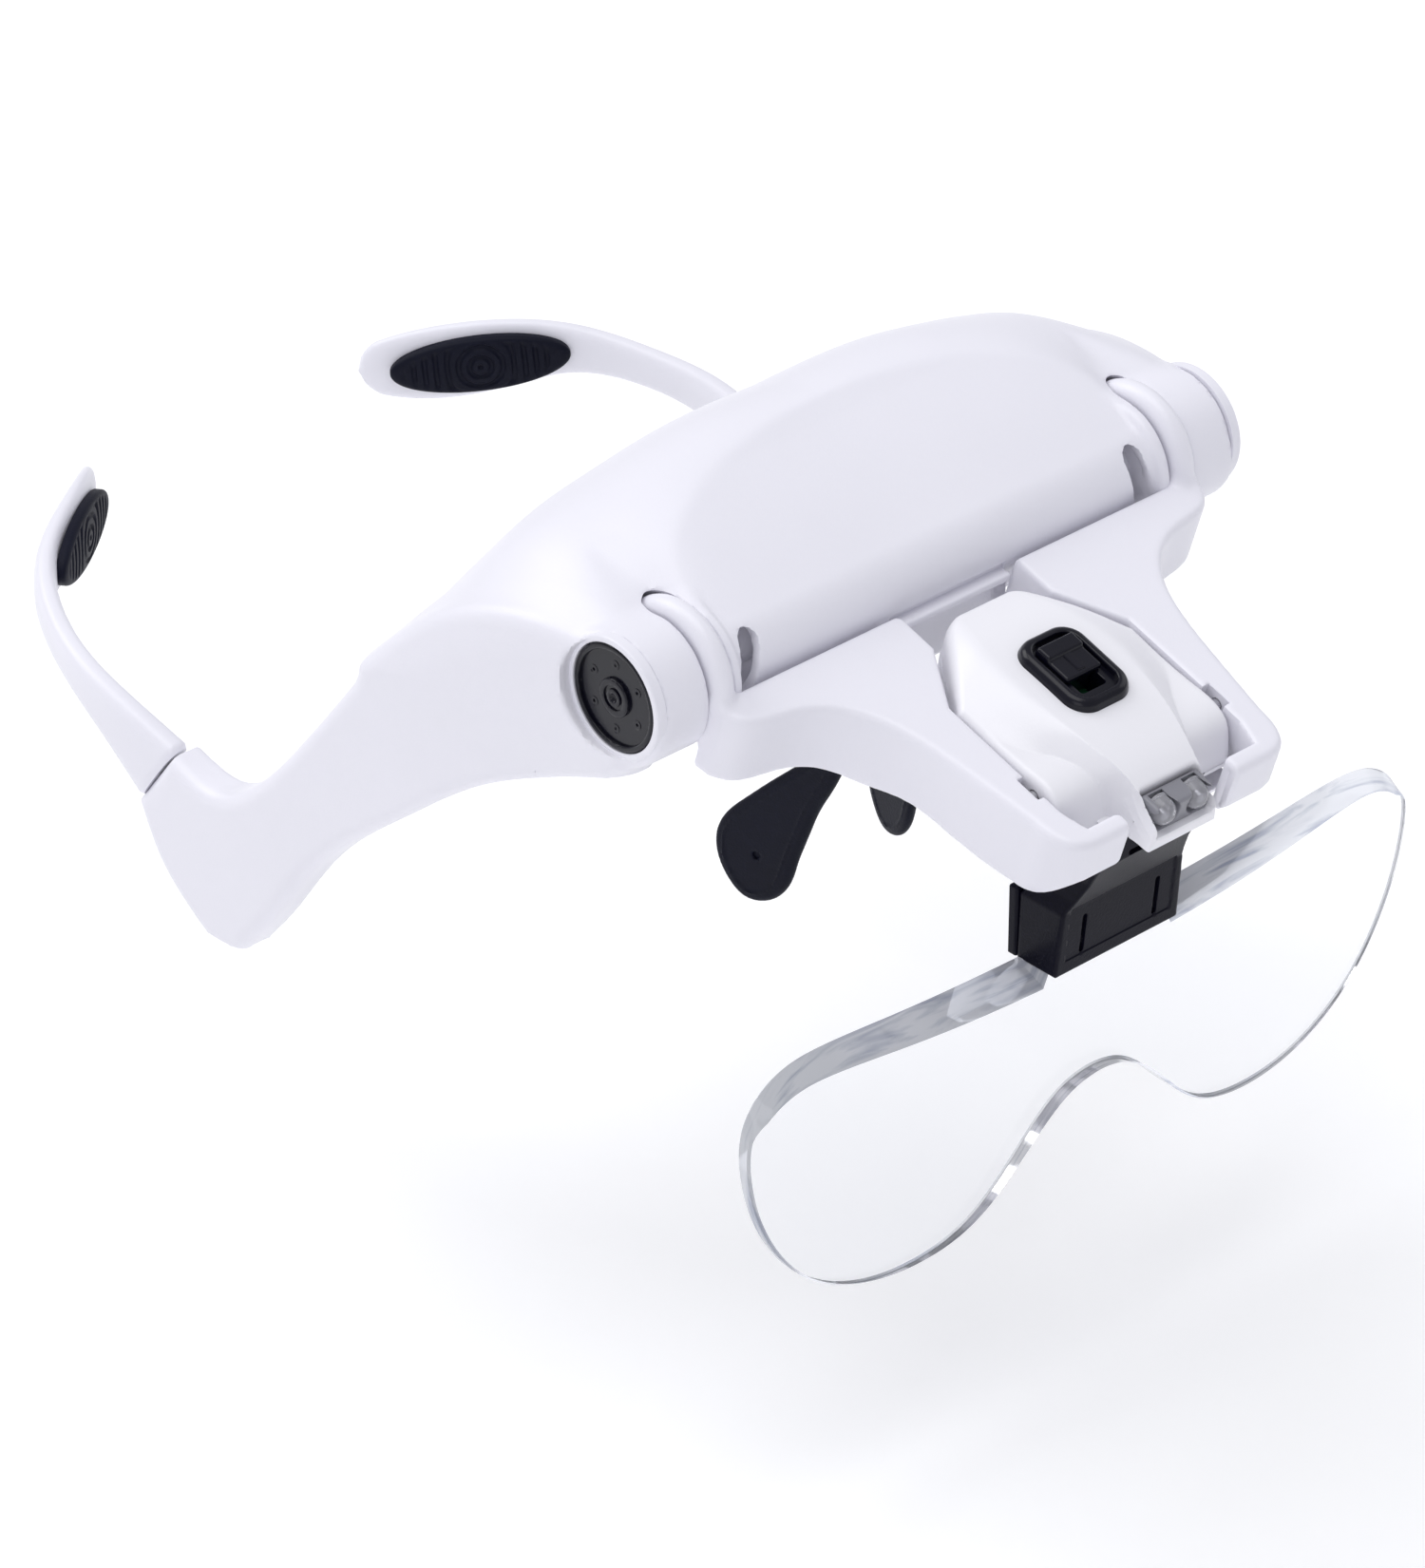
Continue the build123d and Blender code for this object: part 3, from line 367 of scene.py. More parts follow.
def dress(piece, material, body, slot, *nodes):
    """Give a piece its material and body, and say which nodes it stands for; slot is not used."""
    piece.data.materials.clear()
    piece.data.materials.append(material)
    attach(piece, body)
    if nodes:
        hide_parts(*nodes)


# ---------- shared dimensions (mm)
HINGE_Y, HINGE_Z = -46.0, -0.5
TILT = math.radians(17.0)
COS, SIN = math.cos(TILT), math.sin(TILT)
POD_FACE, POD_IN, POD_R = 69.5, 50.0, 11.7                   # outer and inner face and radius of a hinge pod
EAR_X, EAR_HALF, EAR_CORE, SLOT_GAP = 54.9, 2.3, 10.9, 0.65  # bracket's ear and its clearance
BARREL_R, BOTTOM_Z, WALL = 9.5, -17.0, 2.0


def deck_to_row(vertices):
    """Points given as x, deck y and deck height, in the row frame."""
    x, y, w = np.asarray(vertices, float).T
    return np.stack([x, HINGE_Y + y * COS - w * SIN, HINGE_Z + y * SIN + w * COS], axis=1)


def ear_disc(x, r):
    """Hinge ear of the bracket: a disc with a fully rounded edge."""
    return np.hypot(np.maximum(r - EAR_CORE, 0), x - EAR_X) - EAR_HALF


# ---------- front shell
# Sections of the housing across x: the crest of the front panel, the ridge of the top, and the
# upper and lower edge of the forehead side. Each is y or z over x.
CREST_Y = graph([(0, -23.2), (10, -23.6), (20, -25.3), (30, -27.9), (40, -31.4), (50, -35.6), (55, -38.0),
                 (62, -41.5), (70, -44.0), (80, -45.5)])
CREST_Z = graph([(0, 22.3), (10, 22.2), (20, 21.7), (30, 20.7), (40, 18.9), (50, 14.8), (55, 11.8),
                 (62, 10.6), (70, 9.0), (80, 7.0)])
RIDGE_Y = graph([(0, -9.0), (34, -11.0), (52, -20.0), (62, -24.0), (69.5, -28.0), (80, -31.0)])
RIDGE_Z = graph([(0, 18.8), (20, 18.6), (34, 18.2), (45, 17.6), (52, 16.2), (62, 12.6), (69.5, 8.0),
                 (80, 1.0)])
REAR_TOP_Y = graph([(0, 0.0), (34, 0.0), (52, -0.5), (62, -2.4), (69.5, -5.5), (80, -9.0)])
REAR_TOP_Z = graph([(0, 11.2), (20, 10.5), (34, 9.2), (46, 8.2), (54, 6.4), (62, 4.0), (69.5, 0.0),
                    (80, -7.0)])
REAR_LOW_Y = graph([(0, 0.0), (15, 1.2), (34, 6.0), (46, 11.0), (54, 14.5), (62, 16.0), (70, 13.0),
                    (80, 9.0)])
REAR_LOW_Z = graph([(0, -8.0), (34, -7.0), (46, -11.5), (54, -15.0), (62, -16.0), (80, -16.5)])
PANEL_BELLY, PANEL_RUN = 0.35, 26.0     # rise of the front panel and the length it is spread over


def housing(x, y, z):
    """Envelope of the housing between its side faces."""
    cy, cz = CREST_Y(x), CREST_Z(x)
    ry, rz = RIDGE_Y(x), RIDGE_Z(x)
    ty, tz = REAR_TOP_Y(x), REAR_TOP_Z(x)
    ly, lz = REAR_LOW_Y(x), REAR_LOW_Z(x)
    # front panel, a plane from the crest tangent to the barrel
    rise, run = cz - HINGE_Z, cy - HINGE_Y
    slope = np.arctan2(rise, run) - np.arcsin(np.clip(BARREL_R / np.hypot(rise, run), 0, 0.99))
    fy, fz = np.cos(slope), np.sin(slope)
    front = -fz * (y - cy) + fy * (z - cz)
    # a very slight belly keeps the front panel from looking flat
    along = (y - HINGE_Y) * fy + (z - HINGE_Z) * fz
    front = front - PANEL_BELLY * np.sin(np.clip(along / PANEL_RUN, 0, 1) * math.pi)
    # top, an arc over the crest, the ridge and the rear edge, and its tangent ahead of the crest
    ax, az, bx, bz = ry - cy, rz - cz, ty - cy, tz - cz
    det = 2 * (ax * bz - az * bx)
    det = np.where(np.abs(det) < 1e-3, -1e-3, det)
    uy = (bz * (ax ** 2 + az ** 2) - az * (bx ** 2 + bz ** 2)) / det
    uz = (ax * (bx ** 2 + bz ** 2) - bx * (ax ** 2 + az ** 2)) / det
    radius = np.hypot(uy, uz)
    ny, nz = -uy / radius, -uz / radius
    arc = np.hypot(y - cy - uy, z - cz - uz) - radius
    ahead_of_crest = (y - cy) * nz - (z - cz) * ny < 0
    top = np.where(ahead_of_crest, (y - cy) * ny + (z - cz) * nz, arc)
    length = np.hypot(ly - ty, lz - tz)
    rear = ((y - ty) * -(lz - tz) + (z - tz) * (ly - ty)) / length
    roof = smax(smax(front, top, 0.4), rear, 3.0)
    upper = np.maximum(roof, -along)
    lower = np.maximum(roof, smax(HINGE_Y - y, BOTTOM_Z - z, 2.0))
    barrel = np.hypot(y - HINGE_Y, z - HINGE_Z) - BARREL_R
    whole = np.minimum(np.minimum(upper, lower), barrel)
    return smax(whole, BOTTOM_Z - z, 1.5)


# Side view (y, z) of an arm and its fin, and the arm's outer face (x over y)
ARM_TOP = [(-44, 6), (-30, 7.4), (-16, 5.0), (-3, -2.0), (8.2, -13.4), (18.4, -27.0), (29, -41.0),
           (40, -53.6), (51.8, -60.6), (63, -58.4)]
ARM_BOTTOM = [(45.4, -91.4), (36.8, -80.5), (26, -65.4), (6.5, -47.6), (-18, -29.3), (-38, -19.6),
              (-48, -13.5)]
FIN_REAR = [(72.6, -71.0), (66.5, -82.4), (56.4, -91.0)]
FIN_TIP = [(53.2, -93.0), (49.4, -93.4)]
arm_line = [spline(ARM_TOP, 60), spline(FIN_REAR, 24), FIN_TIP, spline(ARM_BOTTOM, 60)]
arm_side = profile(np.concatenate(arm_line))
ARM_OUT = graph([(-62, 69.2), (-46, 69.7), (-36, 70.6), (-20, 72.7), (0, 75.1), (20, 77.0), (45, 78.7),
                 (80, 79.5)])


def circle_through(a, b, c):
    """Centre and radius of the circle through three points."""
    (ax, ay), (bx, by), (cx, cy) = a, b, c
    d = 2 * (ax * (by - cy) + bx * (cy - ay) + cx * (ay - by))
    aa, bb, cc = ax ** 2 + ay ** 2, bx ** 2 + by ** 2, cx ** 2 + cy ** 2
    ux = (aa * (by - cy) + bb * (cy - ay) + cc * (ay - by)) / d
    uy = (aa * (cx - bx) + bb * (ax - cx) + cc * (bx - ax)) / d
    return ux, uy, math.hypot(ax - ux, ay - uy)


ARM_THICK, POCKET_DEPTH = 7.6, 5.4
INNER = circle_through(*[(x - ARM_THICK, y) for x, y in ((69.5, -62), (75.8, 6), (79.8, 80))])
POCKET_TOP = [(-20, 3), (-4.8, -3.2), (13.6, -23.4), (26.2, -41.8), (39, -56.6)]
POCKET_BOTTOM = [(38.2, -79.3), (27.6, -64.0), (7.9, -46.2), (-16.9, -27.5), (-36, -18.0)]
arm_pocket = profile(np.concatenate([spline(POCKET_TOP, 40), spline(POCKET_BOTTOM, 40)]))
SEAT_Y, SEAT_Z, LEG_Y, LEG_Z = 66.8, -63.6, 0.7915, 0.6112    # seat of the leg and its direction
VENT = ((45.8, 4.4), (47.8, -5.2), 2.0)
COVER_HALF, COVER_LOW, COVER_HIGH = 46.0, -14.8, 11.0


def front_shell(sx, y, z):
    """Outer moulding: housing, arms with their fins, and hinge pods."""
    x = np.abs(sx)
    side = np.clip(ARM_OUT(y), 60, 90)
    body = housing(x, y, z)
    core = smax(body, x - side + 0.6, 7.0)
    depth = np.hypot(x - INNER[0], y - INNER[1]) - INNER[2]
    arm = smax(smax(arm_side(y, z), x - side, 3.0), -depth, 1.2)
    hub = np.hypot(y - HINGE_Y, z - HINGE_Z)
    pod = np.hypot(y - HINGE_Y - 0.4, (z - HINGE_Z + 1.2) / 1.05) - POD_R
    pod = smax(smax(pod, x - POD_FACE, 2.6), POD_IN - x, 1.0)
    solid = smin(core, arm, 6.0)
    solid = smin(solid, pod, 2.0)
    # bridge under the barrel, with its lip
    bridge = box(x, y, z, (-13, -53.2, BOTTOM_Z), (13, -40, -3.4), 0.8)
    lip = box(x, y, z, (-13.6, -56.8, -6.0), (13.6, -50, -4.5), 0.5)
    shelf = box(x, y, z, (-17, -52.4, -13), (17, -40, -3.6), 0.8)
    solid = np.minimum(solid, np.minimum(np.minimum(bridge, lip), shelf))
    groove = box(x, y, z, (-13.8, -58, -4.5), (13.8, -54.0, -3.0), 0.3)
    solid = np.maximum(solid, -groove)
    # lugs of the nose rest
    lug = capsule(y, z, (-36, -21), (-36, -15), 3.0)
    lug = smax(lug, np.abs(x - 7.25) - 1.25, 0.5)
    solid = np.minimum(solid, lug)
    # battery space, with solid pods
    hollow = np.maximum(body + WALL, x - 66.5)
    hollow = np.maximum(hollow, np.minimum(x - 49.0, -29.5 - y))
    solid = smax(solid, -hollow, 0.4)
    # hollow of each arm, closed by its inner plate
    pocket = np.maximum(arm_pocket(y, z), depth - POCKET_DEPTH)
    solid = smax(solid, -pocket, 0.5)
    # slots of the ears
    solid = smax(solid, SLOT_GAP - ear_disc(x, hub), 0.5)
    # recess of the hub cap, seat of the pivot
    recess = np.maximum(hub - 10.7, POD_FACE - 2.2 - x)
    solid = smax(solid, -recess, 0.7)
    seat = np.maximum(hub - 4.1, POD_FACE - 5.2 - x)
    solid = np.maximum(solid, -seat)
    # vent slots, backed by a core
    solid = np.minimum(solid, np.maximum(hub - 4.0, np.abs(x - 46.0) - 6.5))
    vent = np.maximum(np.maximum(capsule(x, z, *VENT), y + 47.0), 4.4 - hub)
    solid = smax(solid, -vent, 0.6)
    # window for the rear cover
    window = box(x, y, z, (-COVER_HALF, -3.6, COVER_LOW), (COVER_HALF, 30, COVER_HIGH))
    solid = np.maximum(solid, -window)
    # socket of the leg's plug
    run = (y - SEAT_Y) * LEG_Y + (z - SEAT_Z) * LEG_Z
    rise = -(y - SEAT_Y) * LEG_Z + (z - SEAT_Z) * LEG_Y
    socket = box(x, run, rise, (74.0, -9, -4.2), (77.4, 6, 4.2), 1.0)
    return np.maximum(solid, -socket)


# ---------- rear cover and battery door
DOOR_HALF, DOOR_LOW, DOOR_HIGH, DOOR_GAP = 29.7, -12.1, 8.6, 0.35
COVER_SCREWS = [(40.0, -11.5), (40.0, -2.0)]
RIB_PITCH = 2.2


def rear_skin(x, y, z):
    """Outer wall of the housing's rear, as a band 2 mm thick."""
    outer = housing(x, y, z)
    return np.maximum(outer, -outer - WALL), outer


def rear_cover(sx, y, z):
    """Forehead-side wall with the battery door's opening and four screw holes."""
    x = np.abs(sx)
    band, outer = rear_skin(x, y, z)
    face = box(x, y, z, (-60, -3.0, COVER_LOW + 0.2), (COVER_HALF - 0.2, 20, COVER_HIGH - 0.2), 0.6)
    solid = smax(band, face, 0.8)
    door = box(x, y, z, (-60, -9, DOOR_LOW - DOOR_GAP), (DOOR_HALF + DOOR_GAP, 20, DOOR_HIGH + DOOR_GAP), 1.2)
    solid = smax(solid, -door, 0.5)
    for px, pz in COVER_SCREWS:
        near = np.hypot(x - px, z - pz)
        solid = np.maximum(solid, -(near - 1.25))
        solid = smax(solid, -np.maximum(near - 2.1, -(outer + 0.9)), 0.3)
    return solid


def battery_door(sx, y, z):
    """Clip-on door with grip ribs and a thumb hollow."""
    x = np.abs(sx)
    band, outer = rear_skin(x, y, z)
    solid = smax(band, box(x, y, z, (-60, -5, DOOR_LOW), (DOOR_HALF, 20, DOOR_HIGH), 1.2), 0.9)
    wave = np.abs(((z + 1.5) % RIB_PITCH) - RIB_PITCH / 2) - 0.45
    rib = np.maximum(wave, np.maximum(x - 9.0, np.abs(z + 2.2) - 6.4))
    solid = np.minimum(solid, smax(np.maximum(rib, outer - 0.5), -outer - 1.0, 0.4))
    thumb = np.hypot(x * 0.75, z - 6.2) - 4.6
    return smax(solid, -np.maximum(thumb, -(outer + 0.8)), 0.6)


# ---------- hub caps
def hub_collar(x, y, z):
    """Fine ring round the hub cap, flush with the pod."""
    r = np.hypot(y - HINGE_Y, z - HINGE_Z)
    ring = smax(np.abs(r - 10.75) - 0.65, x - POD_FACE - 0.06, 0.4)
    return np.maximum(ring, POD_FACE - 2.0 - x)


CAP_R, DOT_RING, DOTS = 10.0, 6.2, 6


def hub_cap(x, y, z):
    """Disc over the hinge screw: a dish with a ring of dots and a centre boss."""
    r = np.hypot(y - HINGE_Y, z - HINGE_Z)
    solid = np.maximum(r - CAP_R, POD_FACE - 2.0 - x)
    solid = smax(solid, x - POD_FACE + 0.1, 0.7)
    dish = np.maximum(np.abs(r - DOT_RING) - 2.6, POD_FACE - 0.8 - x)
    solid = smax(solid, -dish, 0.4)
    boss = np.maximum(r - 3.2, x - POD_FACE + 0.3)
    solid = np.minimum(solid, smax(boss, POD_FACE - 1.5 - x, 0.2))
    solid = smax(solid, -np.maximum(np.abs(r - 2.0) - 0.35, POD_FACE - 0.45 - x), 0.2)
    solid = np.maximum(solid, -(np.hypot(r, x - POD_FACE - 0.3) - 1.0))
    pitch = 2 * math.pi / DOTS
    turn = ((np.arctan2(z - HINGE_Z, y - HINGE_Y) / pitch) % 1.0 - 0.5) * pitch
    ring = np.hypot(r * np.cos(turn) - DOT_RING, r * np.sin(turn))
    dot = np.maximum(ring - 0.85, x - POD_FACE + 0.7)
    solid = np.minimum(solid, np.maximum(dot, POD_FACE - 1.5 - x))
    return np.maximum(solid, -np.maximum(ring - 0.3, POD_FACE - 0.9 - x))


# ---------- bracket, in the deck's frame
DECK_TOP = 2.3
# plan (x, v) of half the bracket and of the lamp's pocket, and the skirt's lower edge (w over v)
ARM_SWEEP = [(57.2, 14.2), (55.4, 17.0), (51.0, 18.9), (45.0, 20.0), (39.0, 23.0), (34.4, 28.6), (31.6, 36.0),
             (29.6, 46.0), (27.4, 60.0)]
FRONT_CORNER = [(27.4, 60.0), (26.6, 65.2), (24.6, 68.2), (21.0, 69.5)]
bracket_plan = profile(np.concatenate([[(57.2, 10.8)], spline(ARM_SWEEP, 90), spline(FRONT_CORNER, 20)[1:],
                                       [(-12, 69.5), (-12, 10.8)]]))
pocket_plan = profile([(-30, 9.0), (14.0, 9.0), (14.0, 20.4), (21.4, 32.6), (21.4, 60.8), (20.0, 65.8),
                       (-30, 65.8)])
deck_low = graph([(-12, -14.8), (0, -14.5), (12, -13.0), (22, -12.6), (28, -13.6), (36, -12.4), (46, -13.0),
                  (58, -13.3), (63, -12.4), (66.5, -10.0), (69.5, -7.2), (75, -6.8)])
NOTCH_HALF, BAR_W = 12.6, -12.4
LAMP_TILT_V, LAMP_TILT_W, PIN_HOLE_R = 54.0, -0.5, 1.25
HINGE_HOLE_R, PLATE_LOW, PLATE_HIGH = 2.05, -12.9, -11.7


def pin_hole(v, w):
    """Bore along x for the pins that the lamp tilts on."""
    return np.hypot(v - LAMP_TILT_V, w - LAMP_TILT_W) - PIN_HOLE_R


def bracket_shell(sx, y, w):
    """Flip-up bracket: an open-bottomed moulding with the lamp's pocket and two hinge ears."""
    x, v = np.abs(sx), -y
    plan, pocket = bracket_plan(x, v), pocket_plan(x, v)
    outer = smax(plan, w - DECK_TOP, 1.8)
    outer = smax(outer, deck_low(v) - w, 1.6)
    solid = smax(outer, -np.maximum(plan + WALL, w - DECK_TOP + WALL), 0.8)
    # wall round the lamp's pocket, then the pocket itself with a softened rim
    wall = np.maximum(np.maximum(np.abs(pocket) - WALL, outer), -9.0 - w)
    solid = np.minimum(solid, wall)
    solid = smax(solid, -np.maximum(pocket, -60 - w), 1.0)
    # tab notches at the lamp's pins
    notch = box(x, v, w, (20.0, 51.2, -1.4), (23.0, 56.6, 9.0), 0.4)
    solid = smax(solid, -notch, 0.3)
    # gap in the front wall
    solid = smax(solid, -np.maximum(x - NOTCH_HALF, 58.0 - v), 1.2)
    # cross beam and guides for the clip's head
    beam = box(x, v, w, (-30, 38.4, BAR_W - 1.0), (27.5, 55.0, BAR_W + 1.0), 0.5)
    guide = box(x, v, w, (NOTCH_HALF + 0.6, 54.0, -12.4), (NOTCH_HALF + 2.4, 63.0, -9.4), 0.3)
    solid = np.minimum(solid, np.maximum(np.minimum(beam, guide), plan))
    # hinge ear
    hub = np.hypot(v, w)
    solid = smin(solid, ear_disc(x, hub), 2.2)
    solid = np.maximum(solid, HINGE_HOLE_R - hub)
    return np.maximum(solid, -np.maximum(pin_hole(v, w), x - 23.6))


def bracket_cover(sx, y, w):
    """Plate under the bracket's front block."""
    x, v = np.abs(sx), -y
    plate = box(x, v, w, (-30, 41, PLATE_LOW), (23.5, 62.0, PLATE_HIGH), 0.5)
    plate = np.maximum(plate, -np.maximum(x - NOTCH_HALF - 2.0, 52.6 - v))
    groove = np.maximum(np.abs(v - 46.0) - 4.4, np.maximum(np.abs(x - 16.0) - 4.0, w - PLATE_LOW - 0.2))
    plate = smax(plate, -groove, 0.3)
    return np.maximum(plate, -(np.hypot(x - 8.0, v - 47.0) - 0.95))


# ---------- lamp
# plan (x, v) of half the lamp; over v: height and half width of its ridge, half width at the foot of
# the ridge's slopes, and height of the rim
LAMP_REAR = [(6.0, 17.0), (8.4, 17.8), (11.4, 20.8)]
LAMP_CORNER = [(20.8, 58.0), (20.6, 60.6), (19.6, 62.8), (18.4, 64.2)]
lamp_plan = profile(np.concatenate([
    [(-12, 17.0), (6.0, 17.0)], spline(LAMP_REAR, 10)[1:], [(20.8, 34.2), (20.8, 58.0)],
    spline(LAMP_CORNER, 10)[1:], [(9.6, 64.6), (8.4, 71.0), (-12, 71.0)]]))
RIDGE_TOP = graph([(14, 3.0), (19, 4.2), (26, 5.7), (33, 6.3), (45, 6.4), (52, 6.1), (58, 5.3), (62, 4.2),
                   (65, 2.9), (72, 1.0)])
RIDGE_HALF = graph([(14, 4.5), (20, 7.0), (30, 9.6), (40, 10.4), (47, 10.4), (54, 9.4), (60, 8.0),
                    (66, 7.1), (72, 6.6)])
SLOPE_HALF = graph([(14, 9.0), (20, 13.0), (30, 20.0), (40, 20.6), (46, 18.0), (51, 14.2), (57, 11.2),
                    (64, 9.3), (72, 8.6)])
RIM_TOP = graph([(14, 2.0), (30, 2.5), (50, 2.7), (57, 2.5), (58.6, 1.6), (60.5, -1.6), (62.8, -5.4),
                 (64, -6.4), (72, -7.4)])
LAMP_LOW, LAMP_WALL, SEAM_GAP = -8.0, 1.6, 0.05
LED_X, LED_V, LED_W, LED_R = 3.9, 70.6, 0.0, 2.5


def lamp_skin(x, v, w):
    """Outside of the lamp's cover."""
    share = np.clip((x - RIDGE_HALF(v)) / np.maximum(SLOPE_HALF(v) - RIDGE_HALF(v), 0.5), 0, 1)
    crisp = np.clip((v - 40) / 12, 0, 1)
    share = crisp * share + (1 - crisp) * share * share * (3 - 2 * share)
    # the side facets stay level until the front, then drop steeply
    top = RIDGE_TOP(v) * (1 - share) + RIM_TOP(v) * share
    height = (w - top) * 0.72
    return smax(smax(lamp_plan(x, v), height, 1.5), LAMP_LOW - w, 0.8)


def lamp_seam(v):
    """Height of the seam between the lamp's two shells, which drops under the nose."""
    return -2.0 - 3.6 * np.clip((v - 58) / 5, 0, 1)


def lamp_cover(sx, y, w):
    """Upper shell of the lamp, solid at its nose."""
    x, v = np.abs(sx), -y
    skin = lamp_skin(x, v, w)
    solid = np.maximum(skin, lamp_seam(v) + SEAM_GAP - w)
    solid = smax(solid, -np.maximum(skin + LAMP_WALL, v - 57.0), 0.4)
    # window for the switch
    solid = np.maximum(solid, -box(x, v, w, (-5, 33.0, 0), (4.6, 46.0, 20), 1.0))
    # opening of the light window, with a thin lip below it
    solid = smax(solid, -box(x, v, w, (-9, 64.4, -3.2), (6.9, 90, 20), 0.8), 0.5)
    return np.maximum(solid, -np.maximum(pin_hole(v, w), 17 - x))


LAMP_REACH = graph([(-9, 21.4), (-5, 19.6), (-2, 17.0), (10, 17.0)])   # rear limit of the tray, v over w


def lamp_base(sx, y, w):
    """Lower shell of the lamp, cut back where it would touch the pocket as the lamp tilts."""
    x, v = np.abs(sx), -y
    plan = np.maximum(lamp_plan(x, v) + 0.7 * np.clip((v - 55.5) / 2, 0, 1), v - 65.6)
    solid = smax(plan, np.maximum(w - lamp_seam(v) + SEAM_GAP, LAMP_LOW - w), 0.4)
    solid = smax(solid, LAMP_LOW - w, 1.4)
    solid = smax(solid, LAMP_REACH(w) - v, 0.6)
    solid = np.maximum(solid, -np.maximum(plan + LAMP_WALL, LAMP_LOW + LAMP_WALL - w))
    solid = np.maximum(solid, -box(x, v, w, (-40, 54, -20), (40, 80, -5.5), 0.3))
    solid = np.minimum(solid, box(x, v, w, (-12, 54.5, -5.5), (12, 64.5, -4.0), 0.3))
    return np.maximum(solid, -np.maximum(pin_hole(v, w), 17 - x))


def lamp_window(sx, y, w):
    """Grey window plate with a cup round each light."""
    x, v = np.abs(sx), -y
    plate = box(x, v, w, (-9, 64.9, -3.5), (6.7, 69.6, 2.2), 0.7)
    cup = np.hypot(x - LED_X, w - LED_W) - 2.6 - 0.4 * np.clip((v - 67.5) / 2.0, 0, 1)
    return smax(plate, -np.maximum(cup, 65.6 - v), 0.3)


def led_body(sx, y, w):
    """Domes of the two lights."""
    x, v = np.abs(sx), -y
    r = np.hypot(x - LED_X, w - LED_W)
    along = LED_V - LED_R
    dome = np.where(v > along, np.sqrt(r * r + (v - along) ** 2) - LED_R, r - LED_R)
    flange = np.maximum(r - LED_R - 0.12, np.abs(v - 66.7) - 0.3)
    return np.minimum(np.maximum(dome, 66.5 - v), flange)


def led_metal(sx, y, w):
    """Lead posts and the die cup inside each light."""
    x, v = np.abs(sx), -y
    r = np.hypot(x - LED_X - 0.3, w - LED_W)
    solid = np.maximum(np.maximum(r - 0.75, np.abs(v - 68.6) - 0.5), 0.6 - np.hypot(r, v - 69.3))
    for post in (LED_X - 0.85, LED_X + 0.4):
        lead = box(x, v, w, (post - 0.22, 66.6, LED_W - 0.25), (post + 0.22, 68.4, LED_W + 0.25), 0.08)
        solid = np.minimum(solid, lead)
    return solid


SWITCH_V = 39.5


def bezel_ring(x, v, size, corner):
    """Rounded rectangle about the switch's middle."""
    across, along = np.abs(x) - size[0] / 2 + corner, np.abs(v - SWITCH_V) - size[1] / 2 + corner
    outside = np.hypot(np.maximum(across, 0), np.maximum(along, 0))
    return outside + np.minimum(np.maximum(across, along), 0) - corner


def switch_bezel(x, y, w):
    """Raised rim of the switch with its well, shaft and stem."""
    v = -y
    skirt = bezel_ring(x, v, (15.0, 19.4), 5.0) + 0.28 * np.clip(w - 5.0, 0, 4)
    solid = smax(skirt, w - 8.2, 1.3)
    solid = np.maximum(solid, 5.4 - w)
    stem = np.maximum(bezel_ring(x, v, (8.6, 12.2), 1.2), np.abs(w - 3.9) - 2.1)
    solid = np.minimum(solid, stem)
    well = np.maximum(bezel_ring(x, v, (9.8, 14.4), 2.6), 6.9 - w)
    solid = smax(solid, -well, 0.5)
    shaft = np.maximum(bezel_ring(x, v, (6.0, 10.6), 0.8), 1.0 - w)
    return smax(solid, -shaft, 0.2)


def switch_slider(x, y, w):
    """Stepped button of the switch, in its off position."""
    v, middle = -y, SWITCH_V - 1.6
    stem = box(x, v, w, (-2.6, middle - 3.3, 2.6), (2.6, middle + 3.3, 7.4), 0.3)
    head = box(x, v, w, (-4.2, middle - 4.2, 6.95), (4.2, middle + 4.0, 8.3), 0.6)
    step = box(x, v, w, (-4.2, middle - 4.2, 6.95), (4.2, middle - 0.9, 9.1), 0.6)
    rib = box(x, v, w, (-0.9, middle - 3.0, 6.95), (0.9, middle + 3.2, 8.6), 0.3)
    return np.minimum(np.minimum(stem, rib), smin(head, step, 0.6))


# ---------- lens clip
CLIP_HALF, CLIP_LOW, SLIT_R, CLIP_SCREW_R = 15.0, -56.0, 0.55, 0.95
LENS_Y, LENS_THICK, TAB_TOP = -88.6, 7.4, -46.0
CLIP_FRONT, CLIP_REAR = LENS_Y - LENS_THICK - 1.8, LENS_Y + 0.1
clip_side = profile([(CLIP_REAR, CLIP_LOW), (CLIP_REAR, -43.0), (-93.0, -34.5), (-96.2, -33.0),
                     (-96.2, -26.6), (-104.9, -25.6), (-104.9, -32.0), (-103.0, -35.5),
                     (CLIP_FRONT - 1.4, -42.6), (CLIP_FRONT, CLIP_LOW)])


def clip_slits(x, z):
    """Slits that go right through the clip."""
    upright = capsule(x, z, (8.8, -52.4), (8.8, -45.4), SLIT_R)
    return np.minimum(upright, capsule(x, z, (-4.4, -31.4), (4.4, -31.4), SLIT_R))


def clip_screw_hole(x, z):
    """Bore along y for the clip's screws."""
    return np.hypot(x - 10.0, z + 43.8) - CLIP_SCREW_R


def lens_retainer(sx, y, z):
    """Rear plate of the clip."""
    x = np.abs(sx)
    plate = box(x, y, z, (-30, LENS_Y + 0.2, CLIP_LOW), (CLIP_HALF, LENS_Y + 2.4, -42.0), 0.5)
    return smax(np.maximum(plate, -clip_screw_hole(x, z)), -clip_slits(x, z), 0.2)


